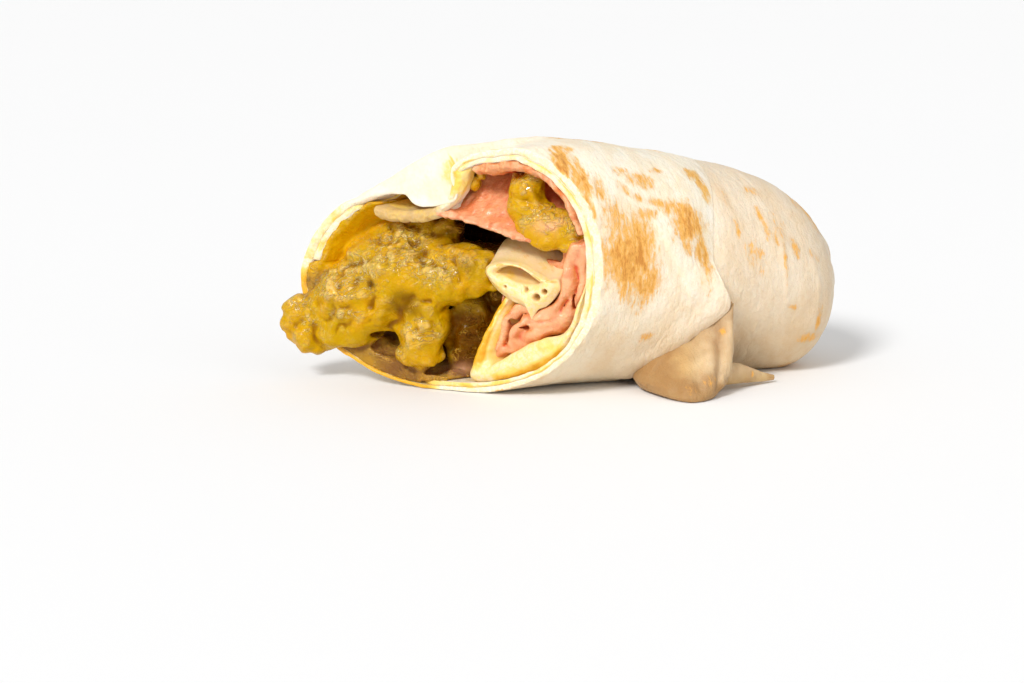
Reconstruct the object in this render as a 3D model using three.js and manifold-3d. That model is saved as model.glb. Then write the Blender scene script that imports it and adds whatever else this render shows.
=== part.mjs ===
// One half of a burrito, cut on the slant and lying on its side.
//
// A flour tortilla is rolled round a soft mash, slices of ham and its own inner end. The roll is folded shut
// at one end and cut open at the other. The knife dragged the top of the cut edge down into a notch, and a
// spare corner of the tortilla comes out under the outer turn and lies on the table as a pouch with a tail.
//
// Millimetres. +X runs from the cut to the folded end, +Z is up, and the origin is in the middle of the flat
// spot that the roll rests on. Points in the cut are given as (p, z) or (p, q, z): p runs across the cut
// towards -Y, q is the depth behind the cut and z is the height.

import * as THREE from "three";
import { mergeVertices } from "three/addons/utils/BufferGeometryUtils.js";
import Module from "manifold-3d";

const wasm = await Module();
wasm.setup();

// ---------------------------------------------------------------- driving dimensions

const CUT_ANGLE = THREE.MathUtils.degToRad(51.6); // between the cut and the roll's axis
const RADIUS = 29.4; // of the roll at the cut
const AXIS_Y = 3.0; // the roll's centre at the cut
const AXIS_Z = 28.2;
const END_X = 93.5; // the folded end
const END_ROUND = 24; // length over which the end rounds off
const END_DROP = 0.16; // how far the end's centre drops, as a share of its height
const END_TOP = [2.7, 2.2]; // powers that set how blunt the end is above
const END_BOTTOM = [3.4, 2.4]; // and below
const SAG = 3.5; // how far the underside sinks at the folded end, until the table stops it
const TAPER_X = [20, 94]; // the roll narrows between these places
const NARROWER = 0.22; // share of its width that it loses
const LOWER = 0.24; // share of its height that it loses
const BEND = 11; // how far its centre drifts towards -Y
const EGG = [0.075, -0.041, -0.023]; // sin 2, cos 3 and sin 3 parts of the outline at the cut
const EGG_FADE = [10, 70]; // the outline turns round between these places
const TURN = 2.2; // thickness of one turn
const GAP = 0.45; // between pieces that touch
const SLIVER = 0.08; // details smaller than this are dropped
const REST = [36, 1.5]; // the middle of the flat spot, seen from the cut's lowest point
const AROUND = 48; // faces round the roll
const TURN_SHARES = [0, 0.07, 0.17, 0.32, 0.52, 0.76, 1]; // rings of the outer turn
const BELOW_SHARES = [0.03, 0.2, 0.4, 0.6, 0.77, 0.9, 0.975]; // rings of the turn below it
const LINING_SHARES = [0, 0.06, 0.15, 0.28, 0.45, 0.63, 0.8, 0.93]; // rings of the inside

// The outer turn's free edge: angle round the roll (degrees) and distance along it.
const FREE_EDGE = [
  [-180, 58], [-135, 48], [-90, 36], [-56, 36.6], [-45, 38], [-37, 43], [-29, 45.4], [-12, 52.4],
  [0, 51], [21, 51.3], [66, 57], [110, 61], [150, 61], [180, 58],
];

// The step down from the outer turn to the turn below it: angle (degrees) and height.
const STEP = [[-180, 1.2], [-120, 1.8], [-60, 2.2], [30, 2.2], [66, 0.8], [110, 0.6], [180, 1.2]];

// The tortilla's thickness at the cut: angle round the roll (degrees) and thickness.
const WALL = [
  [-180, 3.2], [-140, 2.4], [-90, 2.6], [-45, 2.0], [-15, 2.8], [0, 3.2], [90, 3.2], [150, 3.0], [180, 3.2],
];

// The notch that the knife left in the cut edge: angle (degrees), then (p, z) of the tortilla's outside
// there and of its inside.
const NOTCH = [
  [137, -27.4, 45.3, -26.2, 42.4], [128, -22.6, 46.8, -21.9, 44.0], [119, -16.2, 46.9, -16.8, 44.2],
  [112, -13.5, 44.6, -13.8, 42.0], [106, -8.8, 44.2, -8.6, 41.8], [100, -3.9, 46.0, -2.6, 44.6],
  [95, -5.1, 50.0, -3.2, 50.2], [90, -3.8, 53.4, -1.8, 52.0], [84, 0.2, 55.6, 1.2, 53.2],
  [76, 5.4, 57.0, 6.0, 54.2],
];
const NOTCH_ENDS = [150, 64];
const NOTCH_REACH = 20; // how far behind the cut it fades out

// ---------------------------------------------------------------- small helpers

const rad = THREE.MathUtils.degToRad;
const { lerp } = THREE.MathUtils;
const smooth = (x, from, to) => THREE.MathUtils.smoothstep(x, from, to);
const SIN = Math.sin(CUT_ANGLE);
const COS = Math.cos(CUT_ANGLE);

// A smooth curve through [key, value...] rows, by cubic pieces that don't overshoot far.
function through(rows, key, column = 1) {
  const last = rows.length - 1;
  if (key <= rows[0][0]) return rows[0][column];
  if (key >= rows[last][0]) return rows[last][column];
  const i = rows.findIndex((row) => row[0] > key) - 1;
  const slope = (a, b) => (rows[b][column] - rows[a][column]) / (rows[b][0] - rows[a][0]);
  const width = rows[i + 1][0] - rows[i][0];
  const t = (key - rows[i][0]) / width;
  const m0 = i > 0 ? slope(i - 1, i + 1) * width : 0;
  const m1 = i < last - 1 ? slope(i, i + 2) * width : 0;
  const t2 = t * t;
  const t3 = t2 * t;
  return (
    (2 * t3 - 3 * t2 + 1) * rows[i][column] + (t3 - 2 * t2 + t) * m0 +
    (3 * t2 - 2 * t3) * rows[i + 1][column] + (t3 - t2) * m1
  );
}

const degrees = (angle) => THREE.MathUtils.euclideanModulo(THREE.MathUtils.radToDeg(angle) + 180, 360) - 180;

// The place of a point of the cut, q behind it.
const inCut = (p, q, z) => new THREE.Vector3(p * COS + q * SIN, -p * SIN + q * COS, z);

// The distance along the roll of the plane that lies q behind the cut, at a given y.
const planeX = (y, q) => (q - COS * y) / SIN;

// A solid from the numbers of its vertices and triangles.
function solidFrom(vertProperties, triVerts) {
  return new wasm.Manifold(new wasm.Mesh({ numProp: 3, vertProperties, triVerts: new Uint32Array(triVerts) }));
}

// A solid from vertices and triangles, turned to face out.
function solidOf(points, triangles) {
  const numbers = new Float32Array(points.flatMap((v) => [v.x, v.y, v.z]));
  const made = solidFrom(numbers, triangles.flat());
  return made.volume() > 0 ? made : solidFrom(numbers, triangles.flatMap(([a, b, c]) => [a, c, b]));
}

// A solid from one of three.js's own closed geometries.
function solidOfGeometry(geometry) {
  const bare = geometry.clone();
  bare.deleteAttribute("normal");
  bare.deleteAttribute("uv");
  const merged = mergeVertices(bare, 1e-4);
  return solidFrom(merged.attributes.position.array, merged.index.array);
}

// A solid skinned over rings of points. Each end is closed by a pole, or flat over the ring's own outline.
function skinned(rings, { poles = [null, null] } = {}) {
  const n = rings[0].length;
  const points = rings.flat();
  const triangles = [];
  for (let r = 0; r + 1 < rings.length; r++)
    for (let i = 0; i < n; i++) {
      const [a, b] = [r * n + i, r * n + ((i + 1) % n)];
      triangles.push([a, b, a + n], [b, b + n, a + n]);
    }
  [0, rings.length - 1].forEach((r, end) => {
    const turn = (a, b, c) => triangles.push(end ? [a, b, c] : [a, c, b]);
    if (poles[end]) {
      points.push(poles[end]);
      for (let i = 0; i < n; i++) turn(r * n + i, r * n + ((i + 1) % n), points.length - 1);
    } else {
      const flat = rings[r].map((v) => new THREE.Vector2(v.y, v.z));
      for (const [a, b, c] of THREE.ShapeUtils.triangulateShape(flat, [])) {
        const clockwise = THREE.ShapeUtils.isClockWise(flat);
        clockwise ? turn(r * n + a, r * n + c, r * n + b) : turn(r * n + a, r * n + b, r * n + c);
      }
    }
  });
  return solidOf(points, triangles);
}

const joined = (solids) => solids.reduce((a, b) => a.add(b));

// A smooth open curve through (p, z) points of the cut.
const curveOf = (line) => new THREE.CatmullRomCurve3(line.map(([p, z]) => new THREE.Vector3(p, 0, z)));

// An outline moved outwards by a distance, with mitred corners.
function grown(outline, by) {
  const points = outline.map(([p, z]) => new THREE.Vector2(p, z));
  const side = THREE.ShapeUtils.isClockWise(points) ? -1 : 1;
  const normal = (a, b) => new THREE.Vector2(b.y - a.y, a.x - b.x).normalize().multiplyScalar(side);
  return points.map((point, i) => {
    const before = normal(points.at(i - 1), point);
    const after = normal(point, points[(i + 1) % points.length]);
    const way = before.clone().add(after).normalize();
    const moved = point.clone().addScaledVector(way, by / Math.max(way.dot(after), 0.5));
    return [moved.x, moved.y];
  });
}

// An open line with its two ends moved outwards along p.
function widened(line, by) {
  const moved = line.map((row) => [...row]);
  moved[0][0] -= by;
  moved.at(-1)[0] += by;
  return moved;
}

// The outline of a strip along a smooth line of [p, z, thickness] rows, moved outwards by a distance.
function strip(line, by, parts) {
  const curve = new THREE.CatmullRomCurve3(line.map(([p, z, thick]) => new THREE.Vector3(p, thick, z)));
  const points = curve.getSpacedPoints(parts);
  const sides = points.map((v, i) => {
    const along = points[Math.min(i + 1, parts)].clone().sub(points[Math.max(i - 1, 0)]).setY(0).normalize();
    const centre = v.clone().addScaledVector(along, i === 0 ? -by : i === parts ? by : 0);
    const way = new THREE.Vector3(-along.z, 0, along.x).multiplyScalar(v.y / 2 + by);
    return [centre.clone().add(way), centre.clone().sub(way)];
  });
  return [...sides.map(([a]) => a), ...sides.map(([, b]) => b).toReversed()].map((v) => [v.x, v.z]);
}

// ---------------------------------------------------------------- the roll's form

const taper = (x) => THREE.MathUtils.clamp((x - TAPER_X[0]) / (TAPER_X[1] - TAPER_X[0]), 0, 1);
const widthAt = (x) => 1 - NARROWER * taper(x) ** 1.5;
const heightAt = (x) => 1 - LOWER * taper(x) ** 1.2;
const centreY = (x) => AXIS_Y - BEND * taper(x) ** 1.5;

// The roll's outline round its axis, as a share of its radius. Angle 0 faces -Y, and a quarter turn faces up.
function egg(angle, x) {
  const bumps = EGG[0] * Math.sin(2 * angle) + EGG[1] * Math.cos(3 * angle) + EGG[2] * Math.sin(3 * angle);
  return 1 + bumps * (1 - smooth(x, ...EGG_FADE));
}

// The y and z of the roll's surface, or of a surface that much further in.
function section(x, angle, inside = 0) {
  const radius = RADIUS * egg(angle, x) - inside;
  const e = THREE.MathUtils.clamp((x - (END_X - END_ROUND - inside)) / END_ROUND, 0, 1);
  const low = smooth(-Math.sin(angle), -0.2, 0.6);
  const cap = (1 - e ** lerp(END_TOP[0], END_BOTTOM[0], low)) ** (1 / lerp(END_TOP[1], END_BOTTOM[1], low));
  const high = AXIS_Z * heightAt(x) * (1 - END_DROP * e) + radius * heightAt(x) * cap * Math.sin(angle);
  return [centreY(x) - radius * widthAt(x) * cap * Math.cos(angle), high - SAG * taper(x) * low * cap];
}

const wallAt = (angle) => through(WALL, degrees(angle));

// How far the notch moves the outside (1) and the inside (3) of the cut edge, as p and z, by angle.
const notchRows = [NOTCH_ENDS[0], ...NOTCH, NOTCH_ENDS[1]].toReversed().map((row) => {
  if (!Array.isArray(row)) return [row, 0, 0, 0, 0];
  const [angle, ...places] = row;
  const moved = [0, wallAt(rad(angle))].flatMap((inside, i) => {
    const [y, z] = section(places[2 * i] * COS, rad(angle), inside);
    return [places[2 * i] + y / SIN, places[2 * i + 1] - z];
  });
  return [angle, ...moved];
});

// How far the notch moves a point at an angle, a distance inside and a depth behind the cut.
function notchAt(angle, inside, depth) {
  const fade = Math.exp(-((Math.max(depth, 0) / NOTCH_REACH) ** 2));
  const share = inside / wallAt(angle);
  const moved = (column) => through(notchRows, degrees(angle), column);
  const part = (column) => lerp(moved(column), moved(column + 2), share);
  return inCut(fade * part(1), 0, fade * part(2));
}

// A point of the roll: along it between two ends that may depend on the angle, and a distance inside.
function rollPoint(angle, startX, endX, share, inside, floor = 0) {
  let x = 0;
  let [y, z] = section(x, angle, inside);
  for (let i = 0; i < 5; i++) {
    x = lerp(startX(y), endX, share);
    [y, z] = section(x, angle, inside);
  }
  const point = new THREE.Vector3(x, y, z).add(notchAt(angle, inside, x * SIN + y * COS));
  point.z = Math.max(point.z, floor);
  return point;
}

const angles = Array.from({ length: AROUND }, (_, i) => (i / AROUND) * 2 * Math.PI);

// The inside of the tortilla as a solid, smaller all over by a clearance, starting q behind the cut.
function hollow(q, clearance) {
  const endX = END_X - TURN - clearance;
  const rings = LINING_SHARES.map((share) =>
    angles.map((a) => {
      const wall = wallAt(a) + TURN * smooth(share, 0.3, 0.6);
      return rollPoint(a, (y) => planeX(y, q), endX, share, wall + clearance, 2 + clearance);
    }),
  );
  return skinned(rings, { poles: [null, rollPoint(0, () => 0, endX, 1, TURN + clearance, 2)] });
}

// ---------------------------------------------------------------- tortilla

// The pouch: a tent of tortilla from under the free edge down to the table, and its tail.
const POUCH_TOP = new THREE.Vector3(52.2, -25.6, 21.5);
const POUCH_FOOT = [
  [38, -10], [36.4, -20], [35.2, -28], [36, -34.4], [40, -36.6], [45.5, -35], [50, -31], [53, -24], [54, -14],
  [46, -8],
];
const POUCH_MIDDLE = new THREE.Vector3(45, -20, 0);
const POUCH_BULGE = 2.4; // its sides stand out this far from a straight tent
const POUCH_EDGE = 1.2; // its bottom edge is rounded by this much
const TAIL_ROOT = new THREE.Vector3(46, -27, 4.2);
const TAIL_TIP = new THREE.Vector3(67.8, -26.6, 0.9);
const TAIL_ROUND = [4.6, 2.6]; // half its height and half its thickness at the root

function pouch() {
  const corners = POUCH_FOOT.map(([x, y]) => new THREE.Vector3(x, y, 0));
  const base = new THREE.CatmullRomCurve3(corners, true).getPoints(28).slice(0, -1);
  const rings = [0.16, 0.34, 0.52, 0.7, 0.86, 0.96, 1].map((t) =>
    base.map((v) => {
      const out = v.clone().sub(POUCH_MIDDLE).normalize();
      const bulge = t === 1 ? -POUCH_EDGE : POUCH_BULGE * Math.sin(Math.PI * t) ** 0.8;
      return POUCH_TOP.clone().lerp(v, t).addScaledVector(out, bulge);
    }),
  );
  return skinned(rings, { poles: [POUCH_TOP, POUCH_MIDDLE] });
}

function tail() {
  const rings = [0, 0.3, 0.6, 0.85, 0.97].map((t) => {
    const centre = TAIL_ROOT.clone().lerp(TAIL_TIP, t);
    const k = 1 - 0.8 * t ** 1.2;
    return Array.from({ length: 12 }, (_, i) => {
      const a = (i / 12) * 2 * Math.PI;
      const z = centre.z + TAIL_ROUND[0] * k * Math.sin(a);
      return new THREE.Vector3(centre.x, centre.y - TAIL_ROUND[1] * k * Math.cos(a), Math.max(z, 0.2));
    });
  });
  return skinned(rings, { poles: [TAIL_ROOT.clone().setX(TAIL_ROOT.x - 1), TAIL_TIP] });
}

// The lip: the inner turn of the tortilla where the knife dragged it down, below the notch.
const LIP = [[-26.5, 42.6], [-23.2, 39.9], [-19.5, 39.4], [-15.5, 39.6], [-11.5, 40.3], [-8.2, 41.8], [-6, 44]];
const LIP_THICK = 2.4;
const LIP_RISE = [2.5, 6]; // its left and right ends climb this much over the length below
const LIP_START = 0.4;
const LIP_REACH = 15;

function lip(grow) {
  const line = curveOf(widened(LIP, grow)).getPoints(12);
  const half = LIP_THICK / 2 + grow;
  const rings = [0, 0.25, 0.5, 0.75, 1].map((t) => {
    const depth = LIP_START - grow + (LIP_REACH + 2 * grow) * t;
    const rise = (v) => THREE.MathUtils.mapLinear(v.x, LIP[0][0], LIP.at(-1)[0], ...LIP_RISE) * t ** 1.3;
    const at = (v, side) => inCut(v.x, depth, v.z + rise(v) + side * half);
    return [...line.map((v) => at(v, 1)), ...line.toReversed().map((v) => at(v, -1))];
  });
  return skinned(rings);
}

function tortilla() {
  const free = (a) => through(FREE_EDGE, degrees(a));
  const step = (a) => through(STEP, degrees(a));
  const front = (y) => planeX(y, 0);
  const outerTurn = TURN_SHARES.map((share) =>
    angles.map((a) => rollPoint(a, front, free(a), share, 0)),
  );
  const below = BELOW_SHARES.map((share) =>
    angles.map((a) => rollPoint(a, () => free(a), END_X, share, step(a) * (1 - 0.6 * smooth(share, 0.2, 1)))),
  );
  const roll = skinned([...outerTurn, ...below], { poles: [null, rollPoint(0, () => 0, END_X, 1, 0)] });
  return roll.add(pouch()).add(tail()).subtract(hollow(-1, 0)).add(lip(0).intersect(roll));
}

// ---------------------------------------------------------------- what the tortilla holds

const RUN_END = 74; // the layers run this far along the roll
const LAYER_STEPS = [0, 0.3, 0.65, 1];

// Carries a point of the outline at the cut along the roll, as the roll narrows and bends.
function carried(x, y, z) {
  return [
    centreY(x) + (y - AXIS_Y) * widthAt(x) * (1 - 0.12 * taper(x)),
    AXIS_Z * heightAt(x) + (z - AXIS_Z) * heightAt(x) * (1 - 0.12 * taper(x)),
  ];
}

// A layer that runs through the roll: an outline in the cut, from q behind it to the far end.
function layer(outline, q, { lift = () => 0, to = RUN_END, steps = LAYER_STEPS } = {}) {
  const rings = steps.map((t) =>
    outline.map(([p, z]) => {
      const y = -p * SIN;
      const x = lerp(planeX(y, q), to, t);
      const [atY, atZ] = carried(x, y, z + lift(p, x - planeX(y, 0)));
      return new THREE.Vector3(x, atY, atZ);
    }),
  );
  return skinned(rings);
}

// The tortilla's inner end, as a V of two legs and a tongue with a slot rolled at the top of the left one.
const LEG_RIGHT = [
  [-0.4, 4.4, 2.4], [5, 6.0, 3.6], [11.5, 9.4, 4.2], [17.5, 13, 4.2], [22.4, 17, 3.2], [25.4, 23, 1.8],
  [26.2, 30.5, 1.4],
];
const LEG_LEFT = [[0.6, 4.2, 3.0], [3.4, 8.6, 4.2], [5.4, 14.0, 3.8], [8.0, 19.4, 3.0], [9.6, 23.4, 2.6]];
const TONGUE = [
  [3.4, 28.4], [4.8, 30.3], [8.2, 31.6], [12.6, 31.8], [17, 30.4], [20.8, 29], [22.8, 27], [22.2, 25],
  [20.2, 22.8], [17.6, 20.8], [16.6, 19.2], [15.2, 20.9], [12.6, 21.8], [8, 23.2], [5.2, 25.6],
];
const SLOT = [[6.2, 28.6], [9, 29.8], [13, 29.6], [16, 28.2], [17.6, 26.9], [14, 26.9], [10, 27.5]];
const TONGUE_LIFT = 4; // the tongue's back stands this much higher than its front

const tongueLift = (p, depth) => TONGUE_LIFT * smooth(depth, 2, 22);

function innerFold(grow) {
  const to = RUN_END + grow;
  const right = layer(strip(LEG_RIGHT, grow, 8), 0.6 - grow, { to });
  const left = layer(strip(LEG_LEFT, grow, 4), 0.6 - grow, { to });
  const tongue = layer(grown(TONGUE, grow), 1.2 - grow, { lift: tongueLift, to });
  const slot = layer(SLOT, -1, { to: 30, lift: tongueLift, steps: [0, 0.3, 0.6] });
  const fold = joined([right, left, tongue]);
  return grow ? fold : fold.subtract(slot);
}

// Ham: a bunched slice at the side, a slice against the top, and one that hangs where the knife dragged it.
const HAM_SIDE = [
  [6.4, 8.8, 1.8], [8.6, 13.4, 4.4], [11.6, 17.2, 5.6], [16.4, 18.0, 4.4], [21, 20.4, 3.4], [23.8, 25, 2.6],
  [24.6, 30.4, 2.6], [25.6, 35.2, 3.0],
];
const HAM_TOP = [
  [0.6, 52.4, 1.6], [6, 53.6, 2.0], [13.5, 53.2, 2.0], [19.8, 50, 2.0], [24.4, 43.8, 1.8], [27, 38.4, 1.6],
];
const HAM_HANGING = [[-8.6, 40.9], [-3, 39.9], [2.6, 38.6], [8.2, 37.6], [14.2, 36.4]];
const HAM_THICK = 1.7;
const HANGING_RISE = 10.5; // it climbs back under the top slice over the length below
const HANGING_REACH = 13;
const HANGING_STEPS = [0, 0.06, 0.12, 0.19, 0.28, 0.6, 1];

const sideHam = (grow) => layer(strip(HAM_SIDE, grow, 9), 2.6 - grow, { to: RUN_END + grow });
const topHam = (grow) => layer(strip(HAM_TOP, grow, 7), 1.6 - grow, { to: RUN_END + grow });

function hangingHam(grow) {
  const half = HAM_THICK / 2 + grow;
  const line = curveOf(widened(HAM_HANGING, grow)).getPoints(8);
  const outline = [...line.map((v) => [v.x, v.z + half]), ...line.toReversed().map((v) => [v.x, v.z - half])];
  const lift = (p, depth) => HANGING_RISE * smooth(depth, 0, HANGING_REACH) * (1 - 0.35 * smooth(p, 2, 14));
  return layer(outline, 1.0 - grow, { lift, to: 60 + grow, steps: HANGING_STEPS });
}

// Soft mash: lumps as (p, q, z) and three radii along p, q and z.
const LUMPS = [
  [-37, 0, 17, 9, 8, 9],
  [-45, -2.5, 15, 4.4, 4.5, 4.6],
  [-29, 0, 22, 10.5, 8.5, 10.5],
  [-21, 2, 30, 11, 8, 8],
  [-15, 0, 24, 8.5, 7.5, 8.5],
  [-31, 2, 13.5, 9, 8, 6],
  [-13, 1, 14, 6.3, 6.5, 9.6],
  [-6, 2, 26.5, 8.5, 6.5, 6.5],
  [1, 4, 28, 4.6, 6, 5.4],
  [-10, 8, 36, 7, 6, 4.8],
  [-23, 5, 36.5, 7.5, 6.5, 4.6],
  [-1, 4.5, 32, 5, 5, 2.6],
];
const SIDE_LUMPS = [
  [12.4, 5, 48.4, 3.8, 6, 3.4],
  [14.4, 4, 43.8, 3.8, 5.4, 4.4],
  [19.4, 4.5, 41, 5.6, 6, 4.2],
  [23.6, 4.5, 38.2, 3.2, 5.4, 3.8],
];
const LUMP_UNEVEN = 0.1;
const CORE_DEPTH = 10; // the mash behind the lumps starts here
const CAVE = [0, 16, 38.5, 10.5, 17, 5.2]; // the dark hollow under the hanging ham

function lump([p, q, z, rp, rq, rz], grow = 0, detail = 2) {
  const ball = new THREE.IcosahedronGeometry(1, detail);
  const { position } = ball.attributes;
  for (let i = 0; i < position.count; i++) {
    const v = new THREE.Vector3().fromBufferAttribute(position, i);
    const uneven = 1 + LUMP_UNEVEN * Math.sin(4 * v.x + p) * Math.sin(5 * v.y + z) * Math.cos(4 * v.z + q);
    position.setXYZ(i, ...v.multiplyScalar(uneven));
  }
  ball.scale(rp + grow, rq + grow, rz + grow);
  ball.applyMatrix4(new THREE.Matrix4().makeBasis(inCut(1, 0, 0), inCut(0, 1, 0), inCut(0, 0, 1)));
  const centre = inCut(p, q, z);
  ball.translate(centre.x, centre.y, centre.z);
  return solidOfGeometry(ball);
}

// Everything between two distances behind the cut.
function slab(from, to) {
  const block = new THREE.BoxGeometry(240, to - from, 80);
  block.translate(0, (from + to) / 2, 41);
  block.applyMatrix4(new THREE.Matrix4().makeBasis(inCut(1, 0, 0), inCut(0, 1, 0), inCut(0, 0, 1)));
  return solidOfGeometry(block);
}

// ---------------------------------------------------------------- the pieces, fitted to each other

// The largest body of a solid, without the scraps and slivers that cutting leaves.
function mainBody(solid) {
  const bodies = solid.decompose();
  return bodies.reduce((a, b) => (b.volume() > a.volume() ? b : a)).simplify(SLIVER);
}

const wrap = mainBody(tortilla());
const clear = hollow(-1, GAP).subtract(lip(GAP));
const fold = mainBody(innerFold(0).intersect(clear));
const hamSide = mainBody(sideHam(0).intersect(clear).subtract(innerFold(GAP)));
const hamTop = mainBody(topHam(0).intersect(clear));
const hanging = mainBody(hangingHam(0).intersect(clear).subtract(topHam(GAP)).subtract(innerFold(GAP)));
const taken = joined([innerFold(GAP), sideHam(GAP), topHam(GAP), hangingHam(GAP)]);
const mashSide = mainBody(joined(SIDE_LUMPS.map((l) => lump(l))).intersect(clear).subtract(taken));
const sideGrown = joined(SIDE_LUMPS.map((l) => lump(l, GAP)));
const core = clear.intersect(slab(CORE_DEPTH, 200)).subtract(lump(CAVE));
const open = clear.add(slab(-30, -GAP));
const heap = joined([core, ...LUMPS.map((l) => lump(l).intersect(open))]);
const mash = mainBody(heap.subtract(taken).subtract(sideGrown));

// ---------------------------------------------------------------- meshes

const COLOURS = {
  tortilla: { color: 0xf2e3c4, roughness: 0.65 },
  mash: { color: 0xb08a1e, roughness: 0.35 },
  ham: { color: 0xe3937a, roughness: 0.45 },
};

function meshOf(name, solid, finish) {
  const { vertProperties, triVerts } = solid.getMesh();
  const geometry = new THREE.BufferGeometry();
  geometry.setAttribute("position", new THREE.BufferAttribute(vertProperties, 3));
  geometry.setIndex(new THREE.BufferAttribute(triVerts, 1));
  geometry.computeVertexNormals();
  const material = new THREE.MeshStandardMaterial({ ...COLOURS[finish], metalness: 0, name: finish });
  const mesh = new THREE.Mesh(geometry, material);
  mesh.name = name;
  mesh.position.set(-REST[0], -REST[1], 0);
  return mesh;
}

const burrito = new THREE.Group();
burrito.add(
  meshOf("tortilla", wrap, "tortilla"),
  meshOf("tortilla_inner_fold", fold, "tortilla"),
  meshOf("ham_side", hamSide, "ham"),
  meshOf("ham_top", hamTop, "ham"),
  meshOf("ham_hanging", hanging, "ham"),
  meshOf("mash", mash, "mash"),
  meshOf("mash_side", mashSide, "mash"),
);

export default burrito;
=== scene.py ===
"""One half of a burrito, cut on the slant and lying on its side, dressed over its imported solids.

The sizes and colours that can be changed are in the property groups, and each group of pieces has its
operator in the sidebar's Burrito tab. Inside the functions lengths are in millimetres, seen from the cut's
lowest point: +X runs along the roll from the cut to the folded end, -Y is the side with the pouch and +Z is
up. Places in the cut are (p, z) or (p, q, z): p runs across the cut towards -Y, q is the depth behind it and
z is the height. Angles round the roll are 0 towards -Y and 90 at the top.
"""

import itertools
import math

import bpy
import numpy as np
from bpy.props import FloatProperty, FloatVectorProperty, PointerProperty
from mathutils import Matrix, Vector
from mathutils.bvhtree import BVHTree


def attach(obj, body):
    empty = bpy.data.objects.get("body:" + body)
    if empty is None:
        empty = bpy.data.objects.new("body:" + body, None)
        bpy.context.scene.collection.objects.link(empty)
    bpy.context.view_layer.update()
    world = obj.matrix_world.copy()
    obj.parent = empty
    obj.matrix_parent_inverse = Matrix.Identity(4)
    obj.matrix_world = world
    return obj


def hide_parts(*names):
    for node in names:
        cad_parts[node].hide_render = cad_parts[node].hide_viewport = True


bl_info = {
    "name": "Burrito Half",
    "version": (1, 0, 0),
    "blender": (4, 5, 0),
    "location": "3D View > Sidebar > Burrito",
    "description": "Builds the wrap, inner fold, ham and mash of a cut burrito half over its solids",
    "category": "Object",
}

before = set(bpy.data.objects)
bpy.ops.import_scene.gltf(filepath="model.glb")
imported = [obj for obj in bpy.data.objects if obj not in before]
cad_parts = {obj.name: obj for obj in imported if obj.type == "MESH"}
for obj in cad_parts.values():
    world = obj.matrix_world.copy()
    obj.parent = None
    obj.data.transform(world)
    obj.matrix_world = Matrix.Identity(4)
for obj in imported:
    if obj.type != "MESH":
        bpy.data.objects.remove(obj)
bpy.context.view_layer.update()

MM = 0.001
REST = np.array([36.0, 1.5, 0.0])  # the middle of the flat spot, seen from the cut's lowest point
CUT_ANGLE = math.radians(51.6)
SIN, COS = math.sin(CUT_ANGLE), math.cos(CUT_ANGLE)

# ---------------------------------------------------------------- the roll's form

RADIUS = 29.4
AXIS_Y, AXIS_Z = 3.0, 28.2
END_X, END_ROUND, END_DROP = 93.5, 24.0, 0.16
END_TOP, END_BOTTOM = (2.7, 2.2), (3.4, 2.4)  # powers of the end's rounding above and below
SAG, BEND, NARROWER, LOWER = 3.5, 11.0, 0.22, 0.24
TAPER_X = (20.0, 94.0)
EGG, EGG_FADE = (0.075, -0.041, -0.023), (10.0, 70.0)

# Angle and distance along the roll of the outer turn's free edge.
FREE_EDGE = [
    (-180, 58), (-135, 48), (-90, 36), (-56, 36.6), (-45, 38), (-37, 43), (-29, 45.4), (-12, 52.4),
    (0, 51), (21, 51.3), (66, 57), (110, 61), (150, 61), (180, 58),
]
# Angle and height of the step down from the outer turn to the turn below it.
STEP = [(-180, 1.2), (-120, 1.8), (-60, 2.2), (30, 2.2), (66, 0.8), (110, 0.6), (180, 1.2)]
# Angle and thickness of both turns together at the cut.
WALL = [
    (-180, 3.2), (-140, 2.4), (-90, 2.6), (-45, 2.0), (-15, 2.8), (0, 3.2), (90, 3.2), (150, 3.0), (180, 3.2),
]
# Angle, then (p, z) of the wrap's outside and of its inside, where the knife dragged the cut edge down.
NOTCH = [
    (64, 0, 0, 0, 0), (76, 5.4, 57.0, 6.0, 54.2), (84, 0.2, 55.6, 1.2, 53.2), (90, -3.8, 53.4, -1.8, 52.0),
    (95, -5.1, 50.0, -3.2, 50.2), (100, -3.9, 46.0, -2.6, 44.6), (106, -8.8, 44.2, -8.6, 41.8),
    (112, -13.5, 44.6, -13.8, 42.0), (119, -16.2, 46.9, -16.8, 44.2), (128, -22.6, 46.8, -21.9, 44.0),
    (137, -27.4, 45.3, -26.2, 42.4), (150, 0, 0, 0, 0),
]
CUT_SOFTNESS = 2.5  # how far behind the cut its unevenness fades
NOTCH_REACH = (15.0, 1.8)  # how far behind the cut the notch fades, at the hook and where the edge hangs
CURL_IN, CURL_UP = 1.9, 2.1  # how far the folded end's lower edge is drawn in and up

# ---------------------------------------------------------------- numbers


def smooth(x, low, high):
    """0 below low and 1 above high, with a soft change between them."""
    t = np.clip((x - low) / (high - low), 0, 1)
    return t * t * (3 - 2 * t)


def lerp(a, b, share):
    """The value that lies a share of the way from a to b."""
    return a + (b - a) * share


def window(x, low, high, soft):
    """1 between low and high, fading out over soft on each side."""
    return smooth(x, low - soft, low) * (1 - smooth(x, high, high + soft))


def hump(*offsets):
    """1 where every offset is 0, falling to nearly 0 about 2 away from it."""
    return np.exp(-sum(offset**2 for offset in offsets))


def angles_round(count):
    """Angles of evenly spaced points round the roll."""
    return np.arange(count) / count * 2 * math.pi - math.pi


def eased(count):
    """Shares from 0 to 1 that lie close together at both ends."""
    return (1 - np.cos(np.linspace(0, math.pi, count))) / 2


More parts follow.
